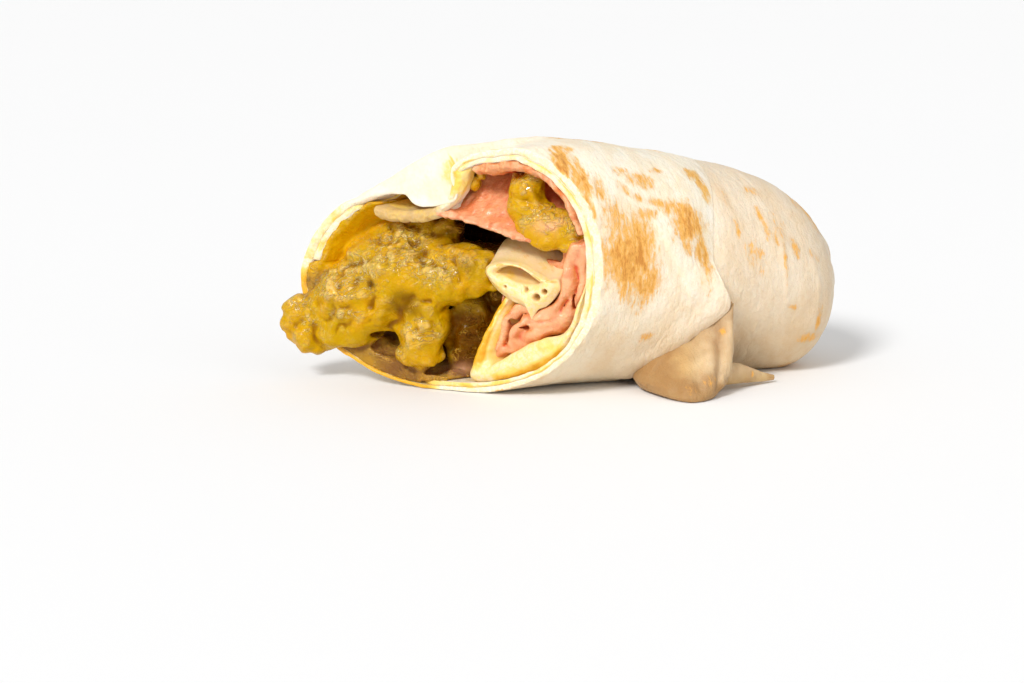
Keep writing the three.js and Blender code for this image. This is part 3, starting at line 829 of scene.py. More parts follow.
def mash_material():
    """Mash: smooth wet gold with patches of pale crumpled skin and painted glints on it, and brown with
    painted shade in the hollows.
    """
    look = bpy.context.scene.burrito_looks
    values = {
        "Specular IOR Level": 0.22, "Specular Tint": (1.0, 0.7, 0.08, 1.0), "Coat Roughness": 0.08,
        "Subsurface Weight": 0.3, "Subsurface Radius": (1.0, 0.5, 0.04), "Subsurface Scale": 0.8 * MM,
    }
    material, tree, shader = new_material("Wet mash", values)
    place = object_place(tree)
    lumps = grain(tree, place, 130, 2.0, 0.5, 0.6)
    bits = grain(tree, place, 420, 2.0, 0.5, 0.8)
    gold, brown = painted(tree, "gold"), painted(tree, "brown")
    wander = minus(tree, bits, 0.5)
    patch = ramp(tree, plus(tree, painted(tree, "raised"), wander), 0.2, 0.9)
    relief = use_group(
        tree, "Wet relief",
        {"Coarse": 220.0, "Medium": 340.0, "Fine": 500.0, "Crumpling": ramp(tree, patch, 0.0, 1.0, 0.15, 0.7),
         "Wrinkling": ramp(tree, patch, 0.0, 1.0, 0.04, 0.6)},
    )
    wrinkles, creases = relief.outputs["Wrinkles"], relief.outputs["Creases"]
    colour = mix(tree, ramp(tree, lumps, 0.36, 0.64), rgb(look.mash), rgb(look.mash_green))
    # Painted shade: the mash darkens in its hollows and along the crease lines.
    painted_hollow_shade = times(tree, painted(tree, "deep"), ramp(tree, patch, 0.0, 1.0, 0.95, 0.8))
    colour = mix(tree, painted_hollow_shade, colour, rgb(look.mash_crease_shade))
    colour = mix(tree, gold, colour, rgb(look.mash_gold))
    lines = times(tree, creases, ramp(tree, patch, 0.0, 1.0, 0.08, 0.24))
    colour = mix(tree, times(tree, lines, ramp(tree, gold, 0.0, 0.6, 1.0, 0.1)), colour, rgb(look.mash_crease_shade))
    # Painted highlights: pale on the convex tops and the wrinkles, over the pale crumpled skin.
    tops = maths(tree, "MAXIMUM", wrinkles, times(tree, painted(tree, "tops"), 0.5))
    pale = times(tree, patch, plus(tree, times(tree, tops, 0.62), 0.04))
    colour = mix(tree, pale, colour, rgb(look.mash_pale_and_glints))
    # Brown mash with painted shade in the hollows, and painted glints on the wrinkles there.
    brown = times(tree, brown, ramp(tree, gold, 0.2, 1.0, 1.0, 0.1))
    glints = times(tree, wrinkles, painted(tree, "tops"))
    hollow = mix(tree, times(tree, glints, 0.75), rgb(look.mash_brown_and_shade), rgb(look.mash_glint))
    colour = mix(tree, brown, colour, hollow)
    colour = mix(tree, painted(tree, "pink"), colour, rgb(look.ham_edge))
    inputs = {
        "Base Color": colour,
        "Roughness": ramp(tree, bits, 0.3, 0.7, 0.2, 0.36),
        "Coat Weight": ramp(tree, brown, 0.0, 1.0, 0.1, 0.07),
        "Normal": bump(tree, relief.outputs["Height"], 0.9, 0.9),
    }
    feed(tree, shader, inputs)
    return material


# The finish of each slot, which is made the first time that a piece asks for it.
FINISHES = {
    "tortilla": ("Toasted tortilla", tortilla_material),
    "inner_tortilla": ("Moist inner tortilla", inner_material),
    "ham": ("Sliced ham", ham_material),
    "mash": ("Wet mash", mash_material),
}


# ---------------------------------------------------------------- the wrap

AROUND = 320  # points round each turn
OUTSIDE_ROWS, EDGE_ROWS, UNDER_ROWS = 150, 15, 34  # rings of the outer turn
LINING_ROWS, LINING_EDGE_ROWS, HIDDEN_ROWS, REAR_ROWS = 54, 11, 26, 125  # rings of the turn below

# Toasted patches: distance along the roll, angle, half length along, half length round in degrees, strength.
TOASTED = [
    (27.5, 12, 6.6, 17, 1.0), (30.5, 2, 5.0, 12, 0.85), (25.0, 26, 4.5, 9, 0.7), (44.5, 29, 4.6, 9, 1.0),
    (40.0, 35, 4.0, 5, 0.75), (47.3, 12, 1.8, 12, 0.8), (43.0, 17, 1.6, 5, 0.7), (36.5, 38, 2.2, 3, 0.75),
    (15.8, 55, 2.4, 10, 0.95), (18.6, 46, 1.8, 10, 0.9), (18.2, 34, 1.2, 9, 0.7), (29.8, 52, 2.2, 3, 0.6),
    (31.5, 49, 1.4, 3, 0.7), (35.3, 49, 2.6, 3, 0.75), (40.6, 54, 1.6, 2, 0.7), (28.8, 43, 1.6, 3, 0.6),
    (32.3, 40, 1.4, 2.5, 0.65), (51.6, 58, 2.2, 4, 0.75), (52.6, 50, 1.3, 7, 0.75),
    (67.2, 56, 2.0, 3, 0.6), (66.0, 40, 0.9, 5, 0.55), (66.6, 30, 0.8, 5, 0.6), (68.4, 25, 0.7, 4, 0.6),
    (73.7, 25, 1.1, 6, 0.75), (78.4, 23, 0.8, 4, 0.6), (80.4, 21, 0.8, 3, 0.6), (58.8, 32, 0.8, 5, 0.5),
    (62.0, 13, 1.1, 9, 0.55), (70.2, 10, 0.5, 14, 0.5), (72.7, -12, 1.2, 2, 0.65),
    (81.0, -16, 1.0, 8, 0.8), (79.6, -28, 3.0, 4, 0.7), (62.5, 15, 2.2, 9, 0.5), (70, 34, 2.4, 8, 0.4),
    (57, 50, 2.0, 6, 0.4), (22.0, 40, 2.0, 6, 0.65), (33.5, 30, 2.6, 4, 0.65), (33.8, -30, 1.6, 2.5, 0.6),
    (15.6, 65, 2.4, 3, 0.7), (18.4, 61, 2.0, 3, 0.65), (30, 90, 6, 10, 0.75), (36, 98, 3, 5, 0.6),
    (50, 106, 4, 16, 0.9), (56, 112, 2, 4, 0.6), (10, 118, 3, 7, 0.7), (14, 128, 7, 6, 0.85),
    (31, 140, 5, 18, 1.0), (38, 152, 3, 6, 0.8), (26, 160, 2, 4, 0.7), (-2, 158, 3, 10, 0.7),
    (62, 146, 6, 5, 0.75), (76, 122, 3, 12, 0.8), (80, 134, 2, 4, 0.6), (17, -164, 9, 6, 0.9),
    (22, -150, 3, 8, 0.75), (64, -172, 7, 8, 0.9), (73, -160, 2, 5, 0.7), (44, -138, 4, 14, 0.85),
    (50, -150, 3, 4, 0.7), (84, 60, 4, 9, 0.6), (80, -70, 5, 12, 0.8), (29, -104, 8, 7, 0.8),
    (36, -94, 3, 5, 0.6), (60, -98, 4, 12, 0.7), (86, 168, 3, 9, 0.7), (48, 170, 2, 6, 0.6),
]


def toast_density(x, deg, points):
    """How strongly each point is toasted, from the patches, with wandering borders."""
    shift = 2.2 * noise(points, 9, 31)
    turn = 5.0 * noise(points, 9, 32)
    total = 0 * x
    ragged = np.exp(1.5 * noise(points, 8, 33) * smooth(np.abs(deg - 12), 72, 92))
    for at_x, at_deg, long, wide, strength in TOASTED:
        round_by = (deg + turn - at_deg + 180) % 360 - 180
        reach = ((x + shift * min(long / 4, 1) - at_x) / long) ** 2 + (round_by / wide) ** 2
        total = np.maximum(total, strength * np.exp(-((reach * ragged) ** 1.3) * 0.6))
    return total


def between(behind, end, share, reach=1.0):
    """Gives the distance along the roll by y, a share of the reach from a plane of the cut to an end."""

    def along(y):
        start = plane_x(y, behind)
        return start + (end - start) * share * reach

    return along


def undulation(x, angle):
    """How far the wrap's low bumps stand out, the same for both turns."""
    height = bpy.context.scene.burrito_sizes.undulation * 1000
    place = np.stack([x, RADIUS * np.cos(angle), RADIUS * np.sin(angle)], -1)
    return height * (noise(place, 17, 3) + 0.45 * noise(place, 8, 4))


def lower_left(deg):
    """1 where the filling has soaked the thin rim at the lower left of the cut."""
    return window(deg % 360, 192, 254, 14)


def outer_share(angle):
    """The outer turn's share of the wall at the cut, which is greatest where the knife dragged it."""
    deg = degrees(angle)
    return 0.54 + 0.3 * window(deg, 102, 138, 8) - 0.2 * lower_left(deg)


def feather(angle):
    """How far from its free edge the outer turn starts to thin out."""
    deg = degrees(angle)
    return 1.0 + 8.0 * window(deg, 12, 96, 14)


def edge_lift(angle):
    """How far the free edge stands out: over the pouch it is pulled outwards."""
    deg = degrees(angle)
    return 1.0 * window(deg, -58, -14, 10) + 1.5 * hump((deg + 5) / 9)


def free_edge(angle):
    """Distance along the roll of the outer turn's free edge, which is drawn out where the pouch lifts it."""
    deg = degrees(angle)
    return through(FREE_EDGE, deg) + 1.0 * hump((deg + 7) / 8)


def knife_wear(points, seed):
    """Small steps that the knife left along a cut edge."""
    wear = bpy.context.scene.burrito_sizes.knife_wear * 1000
    return wear * (noise(points, 2.6, seed) + 0.6 * noise(points, 1.2, seed + 1))


def rim_ripple(points):
    """Small waves in the outline of the cut edge."""
    _, q, z = cut_place(points)
    wave = 0.27 * noise(points, 3.4, 13) + 0.17 * noise(points, 1.6, 14)
    return wave * hump(np.maximum(q, 0) / CUT_SOFTNESS) * smooth(z, 1.0, 5)


def wrap_values(points, x, deg, crumb):
    """The painted values that both turns share, with painted shade on the lower sides and on the rear."""
    q = cut_place(points)[1]
    low = smooth(-np.sin(np.radians(deg)), -0.15, 0.95)
    near_cut = 1 - smooth(q, 0, 30)
    # Painted shade: the lower sides get more of the under tint, with the underside's own warmer colour, and
    # the rear is darkened by the shade value.
    under = low * (0.62 - 0.2 * near_cut) + 0.12 * smooth(x, 47, 61) * (1 - low)
    return {
        "toast": toast_density(x, deg, points) * (1 - crumb),
        "under": under * (1 - crumb),
        "crumb": crumb,
        "shade": 0.34 * smooth(x, 46, 60),
    }


def build_outer_turn():
    """The outer turn: a closed sheet from the cut edge back to its free edge."""
    angles = angles_round(AROUND)
    deg = degrees(angles)
    free = free_edge(angles)
    step = through(STEP, deg)
    thick = outer_share(angles) * wall_at(angles)
    dragged = window(deg, 100, 140, 8)
    nose = 0.45 + 1.9 * dragged
    rows = []

    def under_side(share):
        return lerp(thick, np.maximum(step, 0.35), smooth(share, 0.05, 0.6))

    def outer_side(share):
        start = plane_x(section(free, angles, 0)[0], 0)
        from_edge = (1 - share) * (free - start)
        fade = 1 - smooth(from_edge, 0, feather(angles))
        drop = np.maximum(step - 0.12, 0) * window(deg, 12, 120, 12)
        lift = edge_lift(angles) * (1 - smooth(from_edge, 0, 9))
        return drop * fade - lift

    def add(behind, share, inside, crumb):
        rows.append((roll_point(angles, between(behind, free, share), inside), inside, crumb + 0 * angles))

    for share in 0.005 + 0.985 * eased(OUTSIDE_ROWS)[::-1]:
        add(nose, share, outer_side(share), 0.0)
    for turn in np.linspace(0, math.pi, EDGE_ROWS):
        across = (1 - math.cos(turn)) / 2
        bulge = nose * (1 - math.sin(turn) ** 0.7)
        add(bulge, 0, across * thick, float(0.04 < across < 0.99) * (1 - dragged))
    for share in 0.005 + 0.98 * eased(UNDER_ROWS):
        add(nose, share, under_side(share), 0.35 * (1 - smooth(share, 0, 0.1)))
    last_in, last_out = under_side(0.985), outer_side(0.99)
    for turn in np.linspace(0, math.pi, 9)[1:-1]:
        across = (1 + math.cos(turn)) / 2
        add(nose, 0.99 + 0.01 * math.sin(turn), lerp(last_out, last_in, across), 0.15)
    return finish_turn("wrap_outer", rows, angles, capped=False)


def finish_turn(name, rows, angles, capped):
    """Mesh of one turn, from rings of (points, inside, crumb), with its undulations and knife wear.

    A capped turn ends in a pole at each end, and the other one closes on itself.
    """
    rings, inside, crumb = (np.stack(column) for column in zip(*rows))
    count, columns = inside.shape
    angle = np.broadcast_to(angles, inside.shape).ravel()
    flat, inside, crumb = rings.reshape(-1, 3), inside.ravel(), crumb.ravel()
    x, deg = flat[:, 0], degrees(angle)
    _, q, z = cut_place(flat)
    outward = np.stack([0 * x, -np.cos(angle), np.sin(angle)], -1)
    moved = flat + outward * undulation(x, angle)[:, None] * smooth(z, 0.0, 4)[:, None]
    edge = hump(np.maximum(q, 0) / CUT_SOFTNESS)
    moved = moved + (edge * knife_wear(flat, 11))[:, None] * np.array([SIN, COS, 0])
    moved = moved + outward * rim_ripple(flat)[:, None]
    moved[:, 2] = np.maximum(moved[:, 2], 0.0)
    faces = grid_faces(count, columns, not capped)
    if capped:
        first = len(moved)
        moved = np.concatenate([moved, [rings[0].mean(0), rings[-1].mean(0)]])
        faces = [list(face) for face in faces]
        for pole, row in enumerate((0, count - 1)):
            for c in range(columns):
                pair = (row * columns + c, row * columns + (c + 1) % columns)
                faces.append([*(pair if pole else pair[::-1]), first + pole])
        x = moved[:, 0]
        deg, crumb, inside = (np.append(value, [value[0], value[-1]]) for value in (deg, crumb, inside))
    return mesh_of(name, moved, faces), moved, x, deg, crumb, inside


def wrap_outer():
    """The outer turn, with the stains and toast on its cut edge and free edge."""
    mesh, points, x, deg, crumb, inside = build_outer_turn()
    values = wrap_values(points, x, deg, crumb)
    p, q, z = cut_place(points)
    at_edge = hump((q - 0.5) / 0.8) * (1 - smooth(inside, 0.15, 0.6))
    dashes = smooth(noise(points, 3.0, 41) + 0.8 * noise(points, 9, 42), 0.1, 0.7)
    plain = 1 - 0.7 * window(deg, -60, 20, 12) - 0.9 * window(deg, 98, 145, 6)
    values["toast"] = np.maximum(values["toast"], at_edge * dashes * plain * 0.75)
    line = crumb * smooth(inside, 0.8, 1.6) * hump(q / 1.2)
    soaked = crumb * (0.3 * window(deg, 135, 181, 14) + 1.3 * lower_left(deg))
    values["stain"] = np.maximum(0.5 * line * smooth(noise(points, 3, 43), -0.3, 0.5), soaked)
    by_hook = hump((p + 4.6 - 0.5 * (z - 54)) / 1.5, (z - 54.4) / 2.4, q / 3)
    along_rim = window(deg, 76, 100, 5) * hump((q - 1.6) / 0.9) * (inside < 0.6)
    streaked = smooth(noise(points, 1.6, 47), -0.35, 0.35)
    values["stain"] = np.maximum(values["stain"], 0.9 * by_hook * streaked + 0.55 * along_rim * streaked)
    # Painted shade on the outer turn just behind its free edge, where it overhangs the pouch.
    behind = free_edge(np.radians(deg)) - points[:, 0]
    values["shade"] = 0.55 * hump(behind / 3.0) * window(deg, -62, -12, 8)
    browned = 0.5 * crumb * lower_left(deg) * smooth(noise(points, 3, 46), -0.2, 0.5)
    values["toast"] = np.maximum(values["toast"], browned)
    normals = normals_of(mesh)
    skin = (1 - crumb) * smooth(-inside, -1.5, -0.2)
    creases = ridges(points / [1.6, 6, 6], 1.0, 51)
    relief = (0.17 * rough(points, 6, 52) + 0.06 * crumple(points, 2.6, 53)) * skin
    relief = relief - 0.14 * creases**3 * skin * smooth(x, 26, 46)
    fold = points[:, 0] - 40.3 + 0.24 * (deg - 4) + 0.8 * noise(points, 6, 54)
    raised = smooth(fold, -0.6, 0.5) * (1 - smooth(fold, 1.5, 7))
    relief = relief + 0.5 * raised * window(deg, -4, 22, 9) * skin
    set_points(mesh, points + normals * relief[:, None] * smooth(points[:, 2], 0.0, 2)[:, None])
    paint(mesh, **values)
    add_piece(mesh, ["tortilla"], "tortilla")


def wrap_body():
    """The turn below: a cup from the cut, under the outer turn, to the folded end, and its lining."""
    angles = angles_round(AROUND)
    deg = degrees(angles)
    free = free_edge(angles)
    step = through(STEP, deg)
    wall = wall_at(angles)
    thick = outer_share(angles) * wall
    back = 5.5 * window(deg, 104, 138, 7) + 2.6 * window(deg, -172, -112, 14)
    end_wall = 2.2
    rows = []

    def add(along, inside, crumb, floor=0.0):
        rows.append((roll_point(angles, along, inside, floor), inside, crumb + 0 * angles))

    for share in np.linspace(0, 1, LINING_ROWS)[::-1] ** 1.7:
        inside = wall + end_wall * smooth(share, 0.3, 0.6)
        along = between(back + 0.5, END_X - end_wall, share, 0.93)
        add(along, inside, 0.2 * (1 - smooth(share, 0, 0.05)), 2.0)
    for angle in np.linspace(0, math.pi, LINING_EDGE_ROWS):
        across = (1 + math.cos(angle)) / 2
        depth = back + 0.15 + 0.4 * (1 - math.sin(angle) ** 0.6)
        add(between(depth, free, 0), lerp(thick + 0.03, wall, across), float(0.05 < across < 0.95))
    for share in np.linspace(0, 1, HIDDEN_ROWS) ** 1.3:
        inside = lerp(thick + 0.03, np.maximum(step, 0.35) + 0.14, smooth(share, 0.05, 0.6))
        add(between(back + 0.8, free, share, 0.985), inside, 0.0)
    for share in np.linspace(0, 1, REAR_ROWS):
        inside = (np.maximum(step, 0.35) + 0.14) * (1 - 0.6 * smooth(share, 0.2, 1))
        behind_edge = free + (END_X - free) * (1 - (1 - share) ** 1.35) * 0.9985
        add(lambda y: behind_edge, inside, 0.0)
    mesh, points, x, deg, crumb, inside = finish_turn("wrap_body", rows, angles, capped=True)
    row_of = np.append(np.arange(len(points) - 2) // AROUND, [0, len(rows) - 1])
    lining = (row_of < LINING_ROWS).astype(float)
    rear = (row_of >= len(rows) - REAR_ROWS).astype(float)
    values = wrap_values(points, x, deg, crumb)
    values["toast"] = values["toast"] * rear
    values["under"] = values["under"] * (1 - lining)
    q = cut_place(points)[1]
    oily = lining * (0.24 + 0.76 * window(deg, 112, 178, 14)) * smooth(q, -1, 3)
    low_left = window(np.abs(deg), 120, 181, 10) * (deg < 0)
    outer_side = smooth(-(inside - wall_at(np.radians(deg)) * 0.62), -0.35, 0.15)
    rim = 0.25 + 0.28 * low_left + 0.14 * window(deg, 125, 180, 8) + 0.3 * window(deg, -125, -70, 10)
    rim = crumb * rim * (0.8 + 0.8 * noise(points, 4, 44))
    rim = rim + 0.3 * crumb * outer_side * smooth(noise(points, 5, 45), -0.2, 0.3)
    values["stain"] = np.maximum(oily, rim)
    normals = normals_of(mesh)
    gathered = 0.16 * ridges(points / [2.2, 7, 7], 1.0, 62) ** 3 * window(x, 50, 66, 6)
    relief = rear * (0.2 * rough(points, 6, 61) + 0.07 * crumple(points, 2.8, 64) - gathered)
    for at, low, high in ((70.2, -6, 26), (79.6, -14, 14)):
        crease = x - at + 1.0 * noise(points, 8, 65)
        relief = relief - 0.3 * hump(crease) * window(deg, low, high, 8) * rear
    bare = 1 - window(deg % 360, 112, 262, 12)
    relief = relief + end_folds(points, x) * rear
    relief = relief + lining * 0.2 * rough(points, 5, 63) * smooth(q, 0, 4) * bare
    set_points(mesh, points + normals * (relief * smooth(points[:, 2], 0.0, 2))[:, None])
    paint(mesh, **values)
    add_piece(mesh, ["tortilla"], "tortilla")


def end_folds(points, x):
    """Steps and dimples where the tortilla's sides are tucked over each other at the folded end."""
    y, z = points[:, 1] - centre_y(END_X), points[:, 2] - 20
    cap = smooth(x, 87, 92)
    first = z * 0.35 + y + 3.2 + 1.5 * noise(points, 14, 71)
    second = z - 0.55 * y - 3.0 + 1.5 * noise(points, 12, 72)
    flap = 0.9 * smooth(first, -0.5, 0.4) - 0.5 * hump(first + 1)
    tuck = 0.8 * smooth(second, -0.5, 0.4) - 0.5 * hump(second + 1)
    pleats = 0.35 * np.cos(7 * np.arctan2(z, y) + 2 * noise(points, 10, 73)) * smooth(np.hypot(y, z), 2, 8)
    return cap * (flap + tuck * smooth(first, 0.0, 1.5) - 0.9) + 0.5 * cap * pleats


# The pouch's lines in order round it: (x, y, z) under the outer turn's free edge, then the foot's (x, y).
POUCH_LINES = [
    (54.4, -28.4, 20.6, 49.0, -31.8), (51.8, -27.0, 18.4, 46.2, -34.6), (48.0, -24.6, 15.6, 43.4, -36.0),
    (44.6, -22.6, 12.8, 40.2, -36.6), (41.4, -20.6, 10.4, 37.4, -35.4), (37.6, -17.8, 8.0, 35.6, -31.8),
    (35.8, -14.4, 5.6, 35.0, -26.0), (36.0, -10.5, 4.0, 35.8, -18.0), (40.0, -7.0, 4.0, 40.0, -10.0),
    (46.0, -6.0, 8.0, 46.0, -8.0), (51.5, -9.0, 13.0, 51.5, -12.0), (54.0, -15.0, 17.0, 53.4, -18.0),
    (55.2, -20.5, 19.6, 52.8, -24.6), (55.2, -25.2, 20.8, 50.8, -28.8),
]
TAIL_LINE = [
    (45.0, -26.4, 3.6), (51.5, -27.6, 4.0), (57.5, -27.4, 3.2), (63.0, -26.7, 1.9), (67.9, -26.4, 1.0),
]
TAIL_HEIGHT, TAIL_DEPTH = 3.8, 2.3  # half widths of the tail where it starts
# Toasted spots on the pouch: (x, y, z), reach and strength.
POUCH_TOAST = [
    (44, -34.5, 4.5, 2.0, 0.6), (51.0, -29.0, 14.5, 1.3, 0.6), (39, -34, 3.5, 2.4, 0.35),
    (47, -33, 9, 1.4, 0.3), (60, -28.6, 3.2, 0.9, 0.6), (42, -35, 8, 2.0, 0.4),
]


def closed_curve(corners, count):
    """A smooth closed line through corners."""
    corners = np.array(corners, float)
    n = len(corners)
    at = np.arange(count) / count * n
    i = at.astype(int)
    t = (at - i)[:, None]
    a, b, c, d = (corners[(i + k) % n] for k in (-1, 0, 1, 2))
    return 0.5 * (2 * b + (c - a) * t + (2 * a - 5 * b + 4 * c - d) * t**2 + (3 * b - a - 3 * c + d) * t**3)


def open_curve(corners, shares):
    """A smooth open line through corners, at shares of its length."""
    corners = np.array(corners, float)
    ends = [2 * corners[0] - corners[1], *corners, 2 * corners[-1] - corners[-2]]
    full = np.array(ends)
    n = len(corners) - 1
    fine = np.linspace(0, n, 40 * n + 1)
    i = np.minimum(fine.astype(int), n - 1)
    t = (fine - i)[:, None]
    a, b, c, d = (full[i + k] for k in (0, 1, 2, 3))
    line = 0.5 * (2 * b + (c - a) * t + (2 * a - 5 * b + 4 * c - d) * t**2 + (3 * b - a - 3 * c + d) * t**3)
    steps = np.linalg.norm(np.diff(line, axis=0), axis=1)
    length = np.concatenate([[0], np.cumsum(steps)])
    at = np.asarray(shares) * length[-1]
    return np.stack([np.interp(at, length, column) for column in line.T], -1)


def tube(rings, first_pole, last_pole):
    """Points and faces of rings closed by a pole at each end."""
    rings = np.asarray(rings)
    count, around = rings.shape[:2]
    points = np.concatenate([rings.reshape(-1, 3), [first_pole, last_pole]])
    faces = [list(f) for f in grid_faces(count, around)]
    for c in range(around):
        n = (c + 1) % around
        faces.append([n, c, count * around])
        faces.append([(count - 1) * around + c, (count - 1) * around + n, count * around + 1])
    return points, faces


def wrap_pouch():
    """The pouch that comes out from under the outer turn, and its tail on the table."""
    top = closed_curve([row[:3] for row in POUCH_LINES], 120)
    foot = closed_curve([(*row[3:], 0) for row in POUCH_LINES], 120)
    middle = foot.mean(0)
    out = foot - middle
    out = out / np.linalg.norm(out, axis=1, keepdims=True)
    rings = []
    for t in np.linspace(0, 1, 30):
        ring = lerp(top, foot, t)
        bag = 1.5 * math.sin(math.pi * t**1.6) * smooth(ring[:, 2], 0, 3) - 1.3 * smooth(t, 0.86, 1.0) ** 2
        rings.append(ring + out * (bag * smooth(-ring[:, 1], 12, 22))[:, None])
    tent = tube(rings, top.mean(0) + [0, 2, 0], middle)
    rings = []
    shares = np.linspace(0, 0.985, 30)
    line = open_curve(TAIL_LINE, shares)
    for centre, t in zip(line, shares):
        k = 1 - 0.82 * t**1.2
        turn = np.arange(28) / 28 * 2 * math.pi
        y = centre[1] - TAIL_DEPTH * k * np.cos(turn)
        z = np.maximum(centre[2] + TAIL_HEIGHT * k * np.sin(turn), 0.15)
        rings.append(np.stack([centre[0] + 0 * turn, y, z], -1))
    tail = tube(rings, line[0] - [1, 0, 0], np.array(TAIL_LINE[-1]) + [0.3, 0, 0])
    mesh = melted("wrap_pouch", mesh_of("pouch_parts", *joined((tent, tail))), voxel=0.42, smoothing=3)
    points, normals = points_of(mesh), normals_of(mesh)
    x, y, z = points.T
    pinch = hump((x - 49.5) / 4, (z - 3) / 4)
    streaks = ridges(points / [1.6, 1.6, 5], 1.0, 82)
    relief = 0.3 * rough(points, 7, 81) + 0.12 * rough(points, 2.5, 83) - 0.6 * pinch * streaks**2
    across = x - lerp(49.4, 54.0, np.clip(z / 20, 0, 1)) + 1.3 * noise(points, 7, 85)
    for at, deep in ((-2.6, 1.1), (-6.8, 0.7), (-11.5, 0.6)):
        fold = across - at * (1 + 0.25 * smooth(-z, -16, 0))
        relief = relief - deep * hump(fold / 1.2) * window(z, 1.5, 15, 3) * (y < -22)
    relief = relief * smooth(z, 0.2, 2.5)
    moved = points + normals * relief[:, None]
    moved[:, 2] = np.maximum(moved[:, 2], 0.02)
    set_points(mesh, moved)
    toast = np.zeros(len(points))
    for *at, reach, strength in POUCH_TOAST:
        far = np.linalg.norm(points - np.array(at), axis=1) / reach
        toast = np.maximum(toast, strength * hump(far))
    # Painted shade: the pouch is darker towards its left side, its foot, the valley beside its ridge and
    # where it tucks under the outer turn, and the under tint there is painted shade too. The noise added to
    # the shade is mottling of the dough.
    right = 0.87 * x - 0.5 * y
    left = 1 - smooth(right, 46, 57)
    under = 0.7 + 0.4 * left + 0.35 * (1 - smooth(z, 0.5, 5))
    tucked = 1 - smooth(np.linalg.norm(points - top[:, None], axis=2).min(0), 0.5, 5)
    shade = 0.42 + 0.5 * hump(right - 56.6 - 0.06 * z) + 0.8 * (1 - smooth(right, 43, 52))
    shade = shade + 0.6 * (1 - smooth(z, 1, 7)) * (x < 52) + 0.4 * tucked
    shade = shade + 0.3 * noise(points, 6, 86) + 0.2 * noise(points, 2.2, 87)
    paint(mesh, toast=toast, under=under, crumb=0.0, stain=0.0, shade=shade)
    add_piece(mesh, ["tortilla"], "tortilla")


# ---------------------------------------------------------------- slabs in the cut


def carried(points):
    """Carries points placed for the cut along the roll, as it narrows and bends."""
    x, y, z = np.moveaxis(points, -1, 0)
    shrink = 1 - 0.12 * taper(x)
    new_y = centre_y(x) + (y - AXIS_Y) * width_at(x) * shrink
    new_z = AXIS_Z * height_at(x) + (z - AXIS_Z) * height_at(x) * shrink
    return np.stack([x, new_y, new_z], -1)


def slab(sides, depths, counts, round_by=0.5, lift=None, ring=False, wave=None, holes=(), seed=1, wear=0.3,
         bulging=0.5, lean=0.0, recede=None):
    """A layer of food that shows its cut edge at the front.

    sides are the two sides of its outline in the cut, as paired rows of (p, z, p, z). depths runs from its
    front to its back, and lift moves it up by place and depth. holes are (p, z, radius, depth) pits in the
    front. Gives the points, faces, share of the cut face, depth behind the front and share of a pit.
    """
    length, across = counts
    places, faces = box_shell((length, across, len(depths)), ring)
    rows = np.array(sides, float)
    if ring:
        line = closed_curve(rows, length)
    else:
        line = open_curve(rows, np.linspace(0, 1, length))
    s, t, d = places.T
    share = t / (across - 1)
    depth = np.asarray(depths, float)[d] - depths[0]
    side = 2 * share - 1
    front = np.clip(1 - depth / round_by, 0, 1)
    squeeze = 1 - 0.35 * front**2
    share = 0.5 + 0.5 * side * squeeze
    ends = 0.0
    if not ring:
        along = s / (length - 1)
        span = np.linalg.norm(np.diff(line[:, :2], axis=0), axis=1).sum()
        near = np.minimum(along, 1 - along) * span
        ends = np.clip(1 - near / round_by, 0, 1)
        share = 0.5 + (share - 0.5) * (1 - 0.35 * ends**2)
    p = lerp(line[s, 0], line[s, 2], share)
    z = lerp(line[s, 1], line[s, 3], share)
    q = depths[0] + 0 * depth
    bulge = (1 - np.abs(side) ** 3) * bulging * (depth < 1e-6)
    place = np.stack([p, z, 0 * p], -1)
    jag = wear * (noise(place, 2.4, seed) + 0.6 * noise(place, 1.1, seed + 1))
    q = q - bulge + jag * hump(depth / 2)
    if recede is not None:
        q = q + recede(p, z)
    pit = 0 * p
    for at_p, at_z, radius, deep in holes:
        far = np.hypot(p - at_p, z - at_z) / radius
        into = np.exp(-(far**4)) * (depth < 1e-6)
        q = q + deep * into
        pit = np.maximum(pit, into)
    if wave is not None:
        dp, dz = wave(p, depth, z)
        p, z = p + dp, z + dz
    if lift is not None:
        z = z + lift(p, depth)
    points = in_cut(p - lean * np.minimum(depth, 14) * COS / SIN, q, z)
    points[:, 0] += depth / SIN
    points = curled(carried(points))
    cut_face = hump(depth / 0.5)
    return points, facing_out(points, faces), cut_face, depth, pit


def steps_back(first, last, fine=0.35, growth=1.14):
    """Depths that start close together and end far apart."""
    out = [first]
    step = fine
    while out[-1] < last:
        out.append(min(out[-1] + step, last))
        step *= growth
    return out


def reach_in_wrap(points, wall=None):
    """Angle of each point, its distance from the roll's middle and the lining's distance there."""
    x, y, z = points.T
    mid_y, mid_z = centre_y(x), AXIS_Z * height_at(x)
    wide, tall = width_at(x), height_at(x)
    angle = np.arctan2((z - mid_z) / tall, -(y - mid_y) / wide)
    far = np.hypot((z - mid_z) / tall, (y - mid_y) / wide)
    edge_y, edge_z = section(x, angle, wall_at(angle) if wall is None else wall(angle))
    reach = np.hypot((edge_z - mid_z) / tall, (edge_y - mid_y) / wide)
    reach = reach + undulation(x, angle) * smooth(z, 0.0, 4) + rim_ripple(points)
    return angle, far, reach


def inside_wrap(points, clearance):
    """Keeps points inside the wrap's lining, pulling in those that reach past it."""
    x, y, z = points.T
    mid_y, mid_z = centre_y(x), AXIS_Z * height_at(x)
    _, far, reach = reach_in_wrap(points)
    pull = np.minimum(1, (reach - clearance) / np.maximum(far, 1e-6))
    q = x * SIN + y * COS
    pull = lerp(1.0, pull, smooth(q, -2.0, 0.5))
    made = points.copy()
    made[:, 1] = mid_y + (y - mid_y) * pull
    made[:, 2] = np.maximum(mid_z + (z - mid_z) * pull, np.minimum(2 + clearance, z))
    return made


